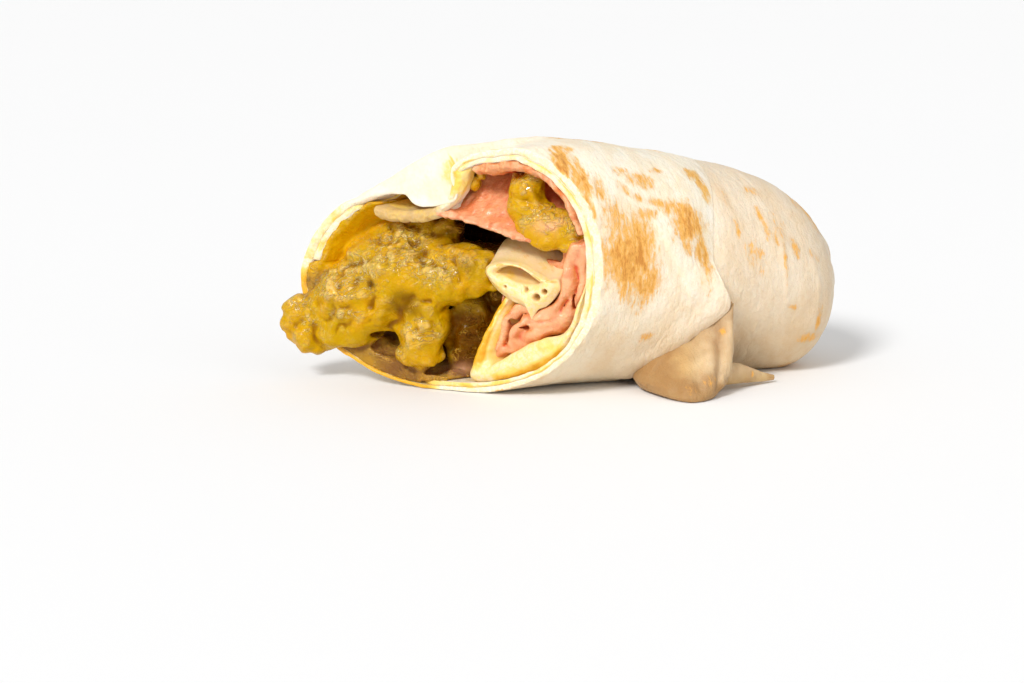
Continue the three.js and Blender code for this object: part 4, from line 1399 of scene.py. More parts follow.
# Paired rows of (p, z) on the outer and inner side of each layer.
V_FOLD = [
    (8.4, 24.0, 10.4, 23.3), (5.4, 19.6, 7.8, 19.1), (3.2, 14.6, 5.8, 15.1), (1.1, 9.6, 4.3, 10.7),
    (-0.6, 5.6, 4.0, 8.2), (-0.9, 3.2, 4.2, 7.0), (0.6, 2.2, 4.7, 6.6), (4.0, 2.6, 6.0, 7.4),
    (8.0, 3.2, 9.5, 9.8), (13.4, 5.0, 13.8, 12.4), (18.0, 7.4, 17.3, 13.7), (20.8, 9.6, 20.6, 14.9),
    (23.0, 12.0, 23.0, 16.6), (25.0, 15.2, 24.7, 18.8), (26.8, 19.0, 26.0, 21.8),
    (28.0, 23.6, 26.9, 24.8), (28.8, 29.6, 27.8, 29.8),
]
TONGUE = [
    (3.2, 28.6, 6.0, 28.5), (3.9, 30.1, 6.6, 29.2), (6.4, 31.0, 8.0, 29.8), (9.6, 31.3, 9.8, 30.1),
    (12.6, 30.8, 12.2, 29.7), (15.8, 29.2, 14.6, 28.3), (18.6, 27.9, 16.0, 27.3),
    (20.9, 27.6, 16.6, 26.8), (21.6, 25.6, 16.2, 26.3), (20.2, 23.2, 15.2, 26.1),
    (18.2, 21.3, 14.2, 26.0), (16.2, 20.3, 13.2, 26.0), (15.2, 18.9, 12.6, 26.1),
    (14.75, 17.9, 12.2, 26.2), (14.2, 19.6, 11.8, 26.3), (12.6, 21.0, 11.0, 26.5),
    (10.0, 21.9, 9.6, 27.0), (6.8, 23.8, 8.0, 27.7), (4.4, 26.3, 6.8, 28.1),
]
# Pits in the tongue's front: (p, z), radius and depth.
TONGUE_HOLES = [
    (13.6, 24.9, 0.45, 1.4), (16.2, 23.4, 0.8, 2.0), (18.2, 24.9, 0.6, 1.8), (8.6, 25.4, 0.35, 0.8),
]
# Height of the V's underside and of the line where the tongue's two layers meet, each as (p, z).
V_UNDERSIDE = [(4.0, 2.6), (8.0, 3.2), (13.4, 5.0), (18.0, 7.4), (20.8, 9.6), (23.0, 12.0)]
TONGUE_SEAM = [
    (4.0, 29.3), (6.8, 30.35), (9.7, 30.7), (12.4, 30.2), (15.2, 28.75), (17.3, 27.6), (20.0, 27.2),
]


def tongue_lift(p, depth):
    """How far the rolled tongue rises behind the cut."""
    return 4.6 * smooth(depth, 0.2, 11) + 0.25 * noise(np.stack([p, depth, 0 * p], -1), 5, 91)


def inner_fold():
    """The tortilla's inner end: a V of two legs, and the tongue rolled at the top of the left one."""

    def wave(p, depth, z):
        place = np.stack([z, depth, p], -1)
        return 0.45 * noise(place, 5, 92), 0.45 * noise(place, 5, 97)

    def recede(p, z):
        return 2.4 * smooth(z, 14.5, 21) * (p < 14) + 1.2 * smooth(z, 20, 29) * (p > 14)

    points, faces, cut_face, depth, _ = slab(
        V_FOLD, steps_back(0.6, 52), (230, 14), 0.9, wave=wave, seed=21, bulging=0.6, recede=recede
    )
    points = inside_wrap(points, 0.12)
    mesh = mesh_of("inner_fold_v", points, faces)
    p, _, z = cut_place(points)
    outer_left = smooth(0.33 * z + 0.5 - p + 0.5 * noise(points, 4, 88), -0.6, 0.6)
    outer_left = outer_left * smooth(z, 4, 8) * (p < 9)
    golden = 0.95 * outer_left + 0.45 * hump((p - 19) / 2.6, (z - 12) / 2)
    golden = np.maximum(golden, 0.3 * (1 - cut_face))
    above = z - np.interp(p, *zip(*V_UNDERSIDE)) - 0.4
    band = hump(above / (1.5 + 0.5 * noise(points, 4, 99))) * window(p, 6.5, 21.5, 2)
    golden = np.maximum(golden, 0.97 * band)
    pale_corner = 1 - 0.7 * hump((p - 4) / 2.4, (z - 3.2) / 2.4)
    relief = 0.12 * rough(points, 3, 93)
    set_points(mesh, points + normals_of(mesh) * relief[:, None])
    paint(mesh, crumb=cut_face, stain=golden * pale_corner + 0.08, toast=0.0, pit=0.0)
    add_piece(mesh, ["tortilla_inner_fold"], "inner_tortilla")
    points, faces, cut_face, depth, pit = slab(
        TONGUE, steps_back(1.2, 50), (150, 16), 0.6, lift=tongue_lift, ring=True, holes=TONGUE_HOLES, seed=25,
        wear=0.2, bulging=0.7, lean=0.9,
    )
    mesh = mesh_of("inner_fold_tongue", points, faces)
    p, _, z = cut_place(points)
    normals = normals_of(mesh)
    relief = 0.14 * rough(points, 3.4, 94) * (1 - 0.6 * cut_face)
    set_points(mesh, points + normals * relief[:, None])
    in_slot = (depth > 0.4) * window(p, 6.2, 17.0, 0.4)
    slot_wall = in_slot * (normals[:, 2] < 0.9) * (z - 0.2 * depth < 30)
    flecks = smooth(noise(points, 2.2, 95), 0.2, 0.5) * (1 - cut_face) * 0.42
    stain = 0.04 + 0.16 * slot_wall + 0.3 * hump((p - 7) / 3, (z - 25) / 2.2)
    off_seam = z - np.interp(p, *zip(*TONGUE_SEAM)) + 0.2 * noise(points, 2.5, 96)
    seam = cut_face * hump(off_seam / 0.3) * smooth(noise(points, 2.0, 89), -0.3, 0.2)
    toast = np.maximum(flecks * smooth(depth, 0.5, 3), seam)
    paint(mesh, crumb=cut_face, stain=stain, toast=toast, pit=pit)
    add_piece(mesh, ["tortilla_inner_fold"], "inner_tortilla")


# The inner turn's dragged edge, and the torn face beside the hook, as paired rows of (p, z).
LIP = [
    (-24.6, 42.4, -23.4, 39.2), (-21.2, 41.6, -20.6, 38.7), (-17.6, 41.5, -17.2, 38.7),
    (-13.8, 41.8, -13.2, 39.1), (-10.2, 42.6, -9.2, 40.1), (-7.8, 43.8, -6.6, 41.4),
]
HOOK = [
    (-8.0, 43.4, -7.0, 41.6), (-5.7, 45.8, -3.5, 44.4), (-4.8, 49.0, -1.3, 48.2),
    (-4.3, 51.6, -0.5, 51.0), (-2.9, 53.6, 0.7, 52.6), (0.4, 55.0, 2.4, 53.6),
]


def under_skin(points, gap):
    """Points moved back under the outer turn's outside where they stand out of it."""
    skin = bpy.data.objects["wrap_outer"].data
    places = points_of(skin)
    faces = [tuple(face.vertices) for face in skin.polygons[: (OUTSIDE_ROWS - 1) * AROUND]]
    tree = BVHTree.FromPolygons(places.tolist(), faces)
    made = points.copy()
    for i, point in enumerate(points):
        nearest, normal, _, far = tree.find_nearest(Vector(point))
        if far < 6 and normal.z > 0.6 and (Vector(point) - nearest).dot(normal) > -gap:
            made[i] = nearest - gap * normal
    return made


def wrap_lip():
    """The inner turn where the knife dragged it down below the notch, and the torn face beside the hook."""

    def lift(p, depth):
        return lerp(2.5, 6.0, smooth(p, -26.5, -6)) * np.clip(depth / 15, 0, 1) ** 1.3

    def serrated(p, depth, z):
        teeth = 0.45 * noise(np.stack([p, 0 * p, 0.4 * depth], -1), 1.3, 98)
        return 0 * p, teeth * (1 - smooth(z, 39.5, 41)) * (depth < 3)

    def deeper(p, z):
        return 1.3 * smooth(z, 51.0, 53.5)

    lip = slab(
        LIP, steps_back(0.4, 15.4, 0.3, 1.1), (150, 10), 0.5, lift=lift, wave=serrated, seed=27, wear=0.45,
        bulging=0.3,
    )
    hook = slab(
        HOOK, steps_back(0.5, 4.0, 0.3, 1.1), (90, 14), 0.8, seed=28, wear=0.4, bulging=0.5, lean=0.9,
        recede=deeper,
    )
    for name, (points, faces, cut_face, depth, _) in (("wrap_lip", lip), ("wrap_hook", hook)):
        mesh = mesh_of(name, points, faces)
        p, _, z = cut_place(points)
        relief = 0.16 * rough(points, 3, 96) * smooth(depth, 0, 1)
        set_points(mesh, under_skin(points + normals_of(mesh) * relief[:, None], 0.35))
        golden = 0.75 * (1 - smooth(p, -22, -12)) * smooth(depth, 1.0, 5) + 0.2
        golden = golden + 0.55 * smooth(z, 45, 49) * (1 - 0.5 * smooth(p, -4.5, -1.5))
        # Painted shade: the under tint and the shade value darken the dragged lip, and only a little of the
        # hook.
        under = lerp(1.0, 0.15, smooth(p, -10, -6))
        paint(mesh, crumb=cut_face, stain=golden, toast=0.0, under=under, shade=0.3 * under)
        add_piece(mesh, ["tortilla"], "tortilla")


# ---------------------------------------------------------------- ham

# Outlines of the slices in the cut, as paired rows of (p, z).
HAM_TOP = [
    (0.4, 51.0, 1.0, 53.6), (4.0, 51.0, 4.4, 54.6), (8.6, 52.0, 9.2, 55.2), (13.4, 51.6, 14.6, 54.4),
    (19.0, 49.0, 21.0, 51.0), (23.4, 43.6, 25.4, 44.6), (25.8, 38.2, 28.0, 38.8),
]
HAM_HANGING = [
    (-8.8, 40.8, -8.6, 42.2), (-3.0, 39.9, -2.8, 41.4), (2.6, 38.5, 2.8, 40.1), (8.2, 36.9, 8.4, 38.5),
    (14.6, 35.6, 14.4, 37.2),
]
# The folds of the bunched slice, each as a line of (p, z, half thickness) and the depth of its front.
HAM_FOLDS = [
    ([(5.9, 8.2, 0.8), (10.0, 11.8, 1.3), (15.0, 14.3, 1.5), (20.4, 16.8, 1.5), (24.4, 20.6, 1.5),
      (26.4, 25.4, 1.5), (26.8, 30.6, 1.5), (26.2, 36.0, 1.5)], 3.6),
    ([(12.4, 18.0, 1.0), (16.6, 18.4, 1.5), (20.4, 20.4, 1.6), (22.8, 24.4, 1.6), (23.6, 29.4, 1.5),
      (24.2, 35.4, 1.6)], 3.0),
    ([(8.8, 11.6, 0.8), (11.0, 14.4, 1.3), (12.8, 17.0, 1.2)], 2.8),
    ([(5.9, 9.6, 0.7), (7.2, 13.4, 0.9), (8.8, 17.4, 1.1), (10.6, 20.0, 1.2), (13.4, 20.6, 1.0)], 2.8),
    ([(13.6, 16.2, 0.9), (17.6, 16.6, 1.0), (22.0, 19.0, 1.0)], 3.0),
]
# Hollows between the folds, as (p, q, z) and half widths along them.
HAM_PITS = [
    (9.4, 4.5, 17.2, 0.9, 3.0, 1.0), (12.2, 4.0, 16.0, 2.2, 2.4, 0.5), (24.6, 4.2, 22.4, 0.5, 2.6, 1.8),
]


def ham_slice(name, made, node, edge, shade, relief, seed):
    """Relief, painted values and mesh of a slice made as a slab."""
    points, faces, _, depth, _ = made
    mesh = mesh_of(name, points, faces)
    uneven = rough(points, 3.6, seed) + 0.7 * crumple(points / [1.6, 1.6, 5], 1.2, seed + 9)
    amount = relief * uneven * (0.5 + 0.5 * smooth(depth, 0, 1.5))
    set_points(mesh, points + normals_of(mesh) * amount[:, None])
    p, _, z = cut_place(points)
    along = np.stack([p / 1.1, depth / 6, 0.5 * z], -1)
    marks = smooth(noise(along, 1.0, seed + 4) + 0.5 * noise(points, 1.4, seed + 5), 0.05, 0.75)
    paint(mesh, edge=edge, shade=shade, marks=marks)
    add_piece(mesh, [node], "ham")


def ham_top():
    """The slice that lies against the top of the lining."""

    def wave(p, depth, z):
        place = np.stack([p, depth, 0 * p], -1)
        return 0 * p, 0.4 * noise(place, 6, 102) * smooth(depth, 0, 2)

    made = slab(HAM_TOP, steps_back(0.9, 52), (120, 10), 0.7, wave=wave, seed=31, wear=0.8, bulging=0.7)
    made = (inside_wrap(made[0], 0.25), *made[1:])
    points, _, cut_face, depth, _ = made
    # Painted shade: the slice darkens the further it lies behind the cut.
    deep = smooth(depth, 1.0, 4.5) * 0.95
    edge = cut_face * smooth(noise(points, 3, 114), -0.5, 0.4) * 0.7
    ham_slice("ham_top_slice", made, "ham_top", edge=edge, shade=deep, relief=0.4, seed=103)


def hanging_lift(p, depth):
    """How far the hanging slice rises behind the cut."""
    return 10.5 * smooth(depth, 0, 13) * (1 - 0.35 * smooth(p, 2, 14))


def ham_hanging():
    """The slice that hangs where the knife dragged it down."""

    def wave(p, depth, z):
        place = np.stack([p, depth, 0 * p], -1)
        return 0.5 * noise(place, 5, 104), 0.55 * noise(place, 4.5, 105) * smooth(depth, 0.5, 3)

    depths = steps_back(1.0, 44, 0.3, 1.1)
    made = slab(HAM_HANGING, depths, (140, 7), 0.5, lift=hanging_lift, wave=wave, seed=33, wear=0.7)
    depth = made[3]
    pale = 0.85 * hump(depth / 1.3) + 0.15
    # Painted shade: the hanging slice is darkened all over, and more deep behind the cut.
    shade = 0.15 + 0.6 * smooth(depth, 8, 13)
    ham_slice("ham_hanging_slice", made, "ham_hanging", edge=pale, shade=shade, relief=0.5, seed=106)


def ham_side():
    """The bunched slice between the inner fold and the wrap."""

    def field(places):
        p, q, z = places.T
        bent = places + np.stack(
            [1.2 * noise(places, 5, 107), 1.0 * noise(places, 6, 113), 1.2 * noise(places, 5, 108)], -1
        )
        made = np.full(len(places), 1e3)
        for line, front in HAM_FOLDS:
            made = soft_union(made, sheet(bent, line, front), 0.6)
        inner = np.hypot((p - 16.5) / 1.15, (z - 20) / 1.2) - 9.5
        right = np.hypot((p - 24) / 0.45, (z - 27) / 1.2) - 9
        back = np.maximum(np.minimum(inner, right), 6.2 - q + 0.8 * noise(places, 4, 111))
        made = soft_union(made, back, 0.5)
        made = np.maximum(made, -blobs(places, HAM_PITS, 0.3))
        made = made - 0.2 * rough(places, 3.0, 110) - 0.22 * crumple(bent, 2.4, 112)
        _, far, reach = reach_in_wrap(in_cut(p, q, z))
        return np.maximum(made, far - reach + 0.3)

    points, faces = skin_over(field, (3, 1, 4), (33, 13, 40), 0.34)
    mesh = mesh_of("ham_side_slice", points, faces)
    p, q, z = cut_place(points)
    normals = normals_of(mesh)
    facing = -(normals @ np.array([SIN, COS, 0]))
    hollow = cavity(mesh, points, normals)
    marks = smooth(noise(points, 2.4, 115), 0.1, 0.8)
    edge = 0.6 * smooth(facing, 0.5, 1.0) * (1 - smooth(q, 3.4, 5))
    # Painted shade in the slice's hollows.
    paint(mesh, edge=edge, shade=0.85 * smooth(hollow, 0.02, 0.3), marks=marks)
    add_piece(mesh, ["ham_side"], "ham")


# ---------------------------------------------------------------- mash

# Lumps as (p, q, z) and half widths along p, q and z.
LUMPS = [
    (-30.0, 3.0, 18.6, 11.0, 7.0, 9.6), (-20.0, 3.0, 24.0, 10.6, 6.8, 9.0),
    (-39.0, 1.6, 14.6, 7.0, 4.6, 6.6), (-44.2, -1.4, 15.6, 2.8, 2.2, 2.4),
    (-42.2, -1.2, 10.6, 3.6, 2.6, 3.2), (-45.4, -1.8, 12.8, 1.6, 1.6, 1.2),
    (-40.4, -1.6, 8.0, 2.4, 2.0, 1.8), (-46.4, -2.0, 17.0, 1.2, 1.4, 0.9),
    (-13.0, 2.5, 14.0, 5.6, 5.6, 9.6), (-12.6, 1.2, 7.6, 5.2, 4.4, 3.6), (-17.0, 0.4, 7.6, 1.6, 2.2, 1.6),
    (-9.4, 3.0, 24.6, 7.6, 5.2, 5.2), (-0.6, 4.6, 27.4, 5.0, 4.0, 4.4), (-3.4, 6.4, 31.6, 5.6, 3.4, 1.7),
    (1.6, 5.4, 30.8, 2.2, 2.6, 1.4), (-20.6, 8.0, 34.2, 9.0, 4.4, 3.8),
    (-12.4, 10.5, 36.2, 6.6, 4.0, 2.8), (-27.5, 6.6, 29.4, 7.0, 5.4, 5.4),
    (-34.6, 3.0, 21.6, 5.4, 4.6, 4.8), (-34.0, 0.6, 11.0, 5.0, 4.2, 2.8), (2.6, 4.8, 24.4, 2.4, 2.4, 1.6),
    (-24.8, 0.8, 16.0, 4.4, 4.2, 3.0), (-4.0, 9.6, 12.0, 7.0, 4.4, 10.0),
    (-29.0, 0.2, 10.2, 3.4, 3.2, 2.0), (-11.8, 6.4, 31.0, 5.4, 3.6, 3.4),
]
# Holes that stay open between the lumps.
GAPS = [(-22.4, 1.0, 11.6, 3.0, 5.0, 1.2), (-3.4, 1.0, 16.0, 3.0, 4.0, 4.6)]
SIDE_LUMPS = [
    (9.2, 6.6, 48.6, 1.2, 3.0, 2.6), (12.2, 6.2, 47.0, 3.2, 4.0, 2.6), (10.6, 6.0, 44.0, 3.4, 4.0, 3.4),
    (13.4, 5.4, 41.2, 4.4, 4.0, 4.0), (17.6, 5.2, 40.0, 5.0, 4.0, 4.2), (22.2, 5.4, 38.8, 3.8, 4.0, 4.4),
    (19.0, 5.2, 36.4, 4.6, 3.4, 2.6), (13.6, 6.6, 50.2, 1.9, 3.0, 1.9), (27.0, 8.0, 38.5, 4.0, 3.6, 4.4),
    (23.6, 4.8, 35.4, 2.2, 3.0, 1.8), (13.6, 5.0, 38.0, 2.4, 3.0, 1.6),
]
# The bit of mash behind the hook of the cut edge.
HOOK_BIT = [
    (-0.6, 5.4, 48.2, 1.4, 2.4, 1.7), (1.0, 5.6, 50.4, 1.1, 2.2, 1.4), (0.5, 5.8, 52.0, 0.7, 1.8, 1.0),
]
CORE_START, CORE_END = 26, 90.8  # the plain mash behind: depth behind the cut, and distance along the roll
# The hollow at the back of the mash, as (p, q, z) and half widths along them.
CAVE = (1.0, 15.0, 37.0, 9.0, 12.0, 4.4)
# Patches of crumpled skin on the heap, and its brown hollows, browner mash with painted shade: (p, z), half
# widths along them, strength.
CRUMPLED = [
    (-33.8, 23.4, 6.5, 3.4, 1.0), (-27.0, 27.4, 6.0, 3.4, 0.9), (-19.0, 32.6, 5.4, 4.0, 1.0),
    (-9.6, 28.4, 5.0, 2.6, 0.9), (-11.8, 13.4, 4.2, 2.6, 0.9), (-43.2, 18.4, 2.6, 1.8, 0.8),
    (-30.5, 17.2, 5.4, 1.7, 0.8), (-40.5, 14.2, 3.0, 1.6, 0.7), (-24.4, 24.4, 2.4, 3.2, 0.8),
    (-16.6, 9.6, 2.0, 2.4, 0.5), (-2.4, 30.8, 2.4, 1.6, 0.7), (-1.0, 14.0, 3.0, 3.0, 0.8),
    (1.0, 8.0, 3.0, 3.0, 0.7),
]
BROWNED = [
    (-15.7, 20.2, 4.2, 3.0, 0.85), (-7.0, 36.0, 4.2, 3.2, 0.8), (-1.0, 29.2, 2.4, 2.4, 0.6),
    (-23.9, 24.2, 1.3, 1.1, 0.8), (-12.8, 31.6, 2.0, 2.4, 0.35), (-19.6, 19.0, 2.0, 1.5, 0.45),
]


def spots(p, z, rows):
    """How strongly each place of the cut lies in any of the patches."""
    total = 0 * p
    for at_p, at_z, wide, high, strength in rows:
        far = ((p - at_p) / wide) ** 2 + ((z - at_z) / high) ** 2
        total = np.maximum(total, strength * np.exp(-(far**1.4)))
    return total


def mash_relief(places, crumpled=0.5):
    """Crumpled relief of the mash, stronger where its skin is crumpled."""
    height = bpy.context.scene.burrito_sizes.mash_relief * 1000
    warped = places + 1.1 * np.stack([noise(places, 5, seed) for seed in (131, 132, 133)], -1)
    relief = 0.7 * noise(warped, 10, 123) + 1.0 * crumple(warped, 7.0, 124)
    relief = relief + (0.3 + 0.14 * crumpled) * crumple(warped, 3.6, 125)
    return height * (relief + (0.05 + 0.22 * crumpled) * crumple(warped, 2.1, 126))


def mash_wall(angle, q):
    """Thickness of the wrap round the mash, which lies on the outer turn where the inner one stops short."""
    bare = window(degrees(angle), -172, -112, 14) * (1 - smooth(q, 2.5, 5))
    return wall_at(angle) * (1 - 0.42 * bare)


def mash_field(places):
    """Distance outside the heap of mash and its film on the lining."""
    p, q, z = places.T
    points = in_cut(p, q, z)
    angle, far, reach = reach_in_wrap(points, lambda angle: mash_wall(angle, q))
    deg = degrees(angle)
    room = reach - far - 0.2
    made = blobs(places, LUMPS, 0.9)
    back = np.maximum(9.5 - q, q - 15.5)
    cave = (((places - CAVE[:3]) / np.array(CAVE[3:])) ** 4).sum(1) ** 0.25 - 1
    back = np.maximum(back, -4.5 * cave)
    made = soft_union(made, back, 1.0)
    thick = 1.0 + 0.7 * noise(places, 4, 129) + 0.9 * hump((p + 22) / 7) * (z < 14)
    above = window(deg % 360, 118, 188, 10) * window(q, 0.9, 12, 1.2)
    below = window(deg % 360, 184, 262, 9) * window(q, 0.4, 12, 0.6)
    ended = 4.0 * (1 - smooth(np.maximum(above, below), 0.3, 0.7))
    film = np.abs(room) - thick * np.maximum(0.7 * smooth(above, 0.3, 0.7), 1.3 * below) + ended
    made = soft_union(made, film, 1.2)
    near = np.abs(made) < 3.0
    smoother = np.maximum(above, 0.4 * below)[near] * (1 - smooth(film[near], 0.3, 2.5))
    made[near] -= mash_relief(places[near], spots(p[near], z[near], CRUMPLED)) * lerp(1.0, 0.2, smoother)
    made = np.maximum(made, -blobs(places, GAPS, 0.5))
    return np.maximum(made, -room - 0.5 * smooth(above, 0.2, 0.6) - 12 * smooth(-q, -0.6, 0.6))


def finish_mash(name, points, faces, node, brown, crumpled, **values):
    """Paints shade into the hollows of a skin of mash and highlights on its lit and convex parts, and adds it
    to the scene.
    """
    mesh = mesh_of(name, points, faces)
    normals = normals_of(mesh)
    hollow, deep = cavity(mesh, points, normals), cavity(mesh, points, normals, 70)
    # Painted light: raised, made of the crumpled patches and of how far each part faces the main light,
    # decides where the pale skin and painted highlights go.
    lit = normals @ np.array([-0.5, -0.45, 0.74])
    raised = 0.7 * crumpled + 0.4 * smooth(lit - 0.5 * hollow - 0.25 * deep, 0.1, 0.95)
    # Painted shade deepens the brown and darkens the hollows, and painted highlights go on the convex tops.
    brown = np.maximum(brown, 0.15 * smooth(hollow, 0.1, 0.4) + 0.4 * smooth(deep, 0.3, 1.8))
    painted_hollow_shade = smooth(hollow, 0.02, 0.28) + 0.4 * smooth(deep, 0.0, 1.2)
    paint(mesh, brown=brown, raised=raised, deep=painted_hollow_shade, tops=smooth(-hollow, 0.02, 0.22), **values)
    add_piece(mesh, [node], "mash")


def mash_heap():
    """The mash that bulges out of the cut, and the mash behind it."""
    points, faces = largest_body(*skin_over(mash_field, (-51, -8, 0.5), (10, 16, 43), 0.4))
    p, q, z = cut_place(points)
    angle, far, reach = reach_in_wrap(points)
    deg = degrees(angle)
    around = deg % 360
    low = window(around, 190, 262, 8) * smooth(far - reach, -4.5, -2) * smooth(q, -1.4, 0.4)
    tan = low * np.clip(0.74 + 0.5 * noise(points, 5, 137), 0.35, 0.97)
    # Painted shade: the mash is browner the deeper it lies behind the cut, in the recess at the lower right
    # and in the brown hollows, which are browner mash with painted shade on it. The tan of the thin low film
    # is its own colour.
    brown = np.maximum(smooth(q, 5.5, 10.0) * (1 - window(around, 112, 190, 10) * (q < 9)), tan)
    brown = np.maximum(brown, window(p, -6, 8, 2) * (1 - smooth(z, 16, 21)) * smooth(q, 2.0, 4.5))
    gold = window(around, 112, 196, 8) * smooth(far - reach, -4.0, -1.5) * smooth(q, 0, 1.5)
    brown = np.maximum(brown, spots(p, z, BROWNED) * (0.85 + 0.5 * noise(points, 3, 135)))
    pink = np.maximum(0.4 * hump((p + 4) / 2.6, (z - 4.2) / 1.5), 0.1 * low)
    finish_mash("mash_heap", points, faces, "mash", brown, spots(p, z, CRUMPLED), gold=gold, pink=pink)
    rings = []
    angles = angles_round(64)
    for share in np.linspace(0, 0.93, 14):
        wall = wall_at(angles) + 0.7 + 2.2 * smooth(share, 0.3, 0.6)
        rings.append(roll_point(angles, between(CORE_START, CORE_END, share), wall, 2.7))
    points, faces = tube(rings, rings[0].mean(0), rings[-1].mean(0))
    mesh = mesh_of("mash_core", points, facing_out(points, faces))
    # Painted shade: the plain mash behind is painted dark brown all over.
    paint(mesh, brown=1.0, pink=0.0, gold=0.0, raised=0.0, deep=1.0, tops=0.0)
    add_piece(mesh, ["mash"], "mash")


def mash_side():
    """The chunk of mash at the side, and the bit behind the hook of the cut edge."""

    def field(places):
        made = blobs(places, SIDE_LUMPS, 0.7)
        made = np.minimum(made, blobs(places, HOOK_BIT, 0.4))
        near = np.abs(made) < 2.5
        made[near] -= 0.7 * mash_relief(places[near], 0.3)
        _, far, reach = reach_in_wrap(in_cut(*places.T))
        return np.maximum(made, far - reach + 0.25)

    points, faces = skin_over(field, (-4, 0, 31), (31, 13, 54), 0.3)
    p, q, z = cut_place(points)
    pink = 0.8 * hump((p - 19) / 3.4, (z - 40.2) / 2) * smooth(noise(points, 3, 134), -0.4, 0.2)
    # Painted shade: the chunk is browner the further it lies behind the cut.
    brown = 0.7 * smooth(q, 8, 11)
    crumpled = np.clip(0.3 + 0.7 * noise(points, 5, 136), 0, 1)
    finish_mash("mash_side_chunk", points, faces, "mash_side", brown, crumpled, gold=0.3, pink=pink)


# ---------------------------------------------------------------- stage


FLOOR_HALF, FLOOR_Z = 6.0, -0.0002  # metres
GLOSSY_FILL = 0.2  # share of the fill light that shows in reflections
CAMERA_PLACE = (-0.31976, -0.51253, 0.13623)
CAMERA_TURN, CAMERA_TILT = -30, 12  # degrees
# Name of each lamp, the way towards it, its width in degrees and the setting that holds its strength.
LAMPS = [
    ("key_light", (-0.66, -0.38, 0.65), 15, "key_strength"),
    ("side_light", (0.30, -0.80, 0.50), 50, "side_strength"),
    ("glint_high", (-0.20, -0.55, 0.81), 2.6, "glint_strength"),
    ("glint_left", (-0.92, -0.28, 0.28), 2.6, "glint_strength"),
    ("glint_front", (-0.30, -0.90, 0.32), 2.6, "glint_strength"),
]


def add_floor(pale):
    """A pale floor that runs on behind the burrito."""
    material, tree, shader = new_material("Pale floor", {"Roughness": 0.7, "Specular IOR Level": 0.1})
    shade = grain(tree, object_place(tree), 3.0, 2.0)
    feed(tree, shader, {"Base Color": mix(tree, shade, rgb(pale), rgb([0.99 * c for c in pale]))})
    mesh = bpy.data.meshes.new("floor")
    corners = [(x * FLOOR_HALF, y * FLOOR_HALF, FLOOR_Z) for x, y in ((-1, -1), (1, -1), (1, 1), (-1, 1))]
    mesh.from_pydata(corners, [], [(0, 1, 2, 3)])
    mesh.materials.append(material)
    floor = placed("floor", mesh)


def add_fill_light(fill):
    """White light from all round, weaker in reflections."""
    world = bpy.data.worlds.new("Soft studio")
    world.use_nodes = True
    tree = world.node_tree
    glossy = add_node(tree, "LightPath").outputs["Is Glossy Ray"]
    strength = ramp(tree, glossy, 0.0, 1.0, fill, GLOSSY_FILL * fill)
    feed(tree, tree.nodes["Background"], {"Color": (1, 1, 1, 1), "Strength": strength})
    bpy.context.scene.world = world


def add_lamps(setting):
    """The main light, the soft front light and the small lights that only glint."""
    for name, way, width, strength in LAMPS:
        lamp = bpy.data.lights.new(name, "SUN")
        lamp.energy = getattr(setting, strength)
        lamp.angle = math.radians(width)
        lamp_object = placed(name, lamp)
        lamp_object.visible_diffuse = not name.startswith("glint")
        lamp_object.rotation_euler = Vector(way).to_track_quat("Z", "Y").to_euler()


def add_camera(lens):
    """The camera, looking at the cut from the left."""
    turn, tilt = math.radians(CAMERA_TURN), math.radians(CAMERA_TILT)
    back = Vector((math.sin(turn) * math.cos(tilt), -math.cos(turn) * math.cos(tilt), math.sin(tilt)))
    camera = bpy.data.cameras.new("camera")
    camera.lens = lens
    camera.sensor_width = 36
    camera.clip_start = 0.01
    camera_object = placed("camera", camera)
    camera_object.location = CAMERA_PLACE
    camera_object.rotation_euler = back.to_track_quat("Z", "Y").to_euler()
    bpy.context.scene.camera = camera_object


def stage():
    """Floor, lights and camera."""
    setting = bpy.context.scene.burrito_stage
    add_floor(setting.floor_colour)
    add_fill_light(setting.fill)
    add_lamps(setting)
    add_camera(setting.lens)
    bpy.context.scene.view_settings.view_transform = "Standard"


# ---------------------------------------------------------------- settings


def colour_property(name, description, value):
    """A colour setting."""
    return FloatVectorProperty(
        name=name, description=description, default=value, subtype="COLOR", size=3, min=0.0, max=1.0
    )


def length_property(name, description, value, most):
    """A length in metres."""
    return FloatProperty(name=name, description=description, default=value, unit="LENGTH", min=0, max=most)


def strength_property(name, description, value):
    """A light's strength."""
    return FloatProperty(name=name, description=description, default=value, min=0)


class BurritoSizes(bpy.types.PropertyGroup):
    """How uneven the surfaces are"""

    undulation: length_property("Undulation", "Height of the wrap's low bumps", 0.00035, 0.001)
    knife_wear: length_property("Knife Wear", "Unevenness of the cut edges", 0.00028, 0.001)
    mash_relief: length_property("Mash Relief", "Height of the mash's crumpled relief", 0.0011, 0.002)


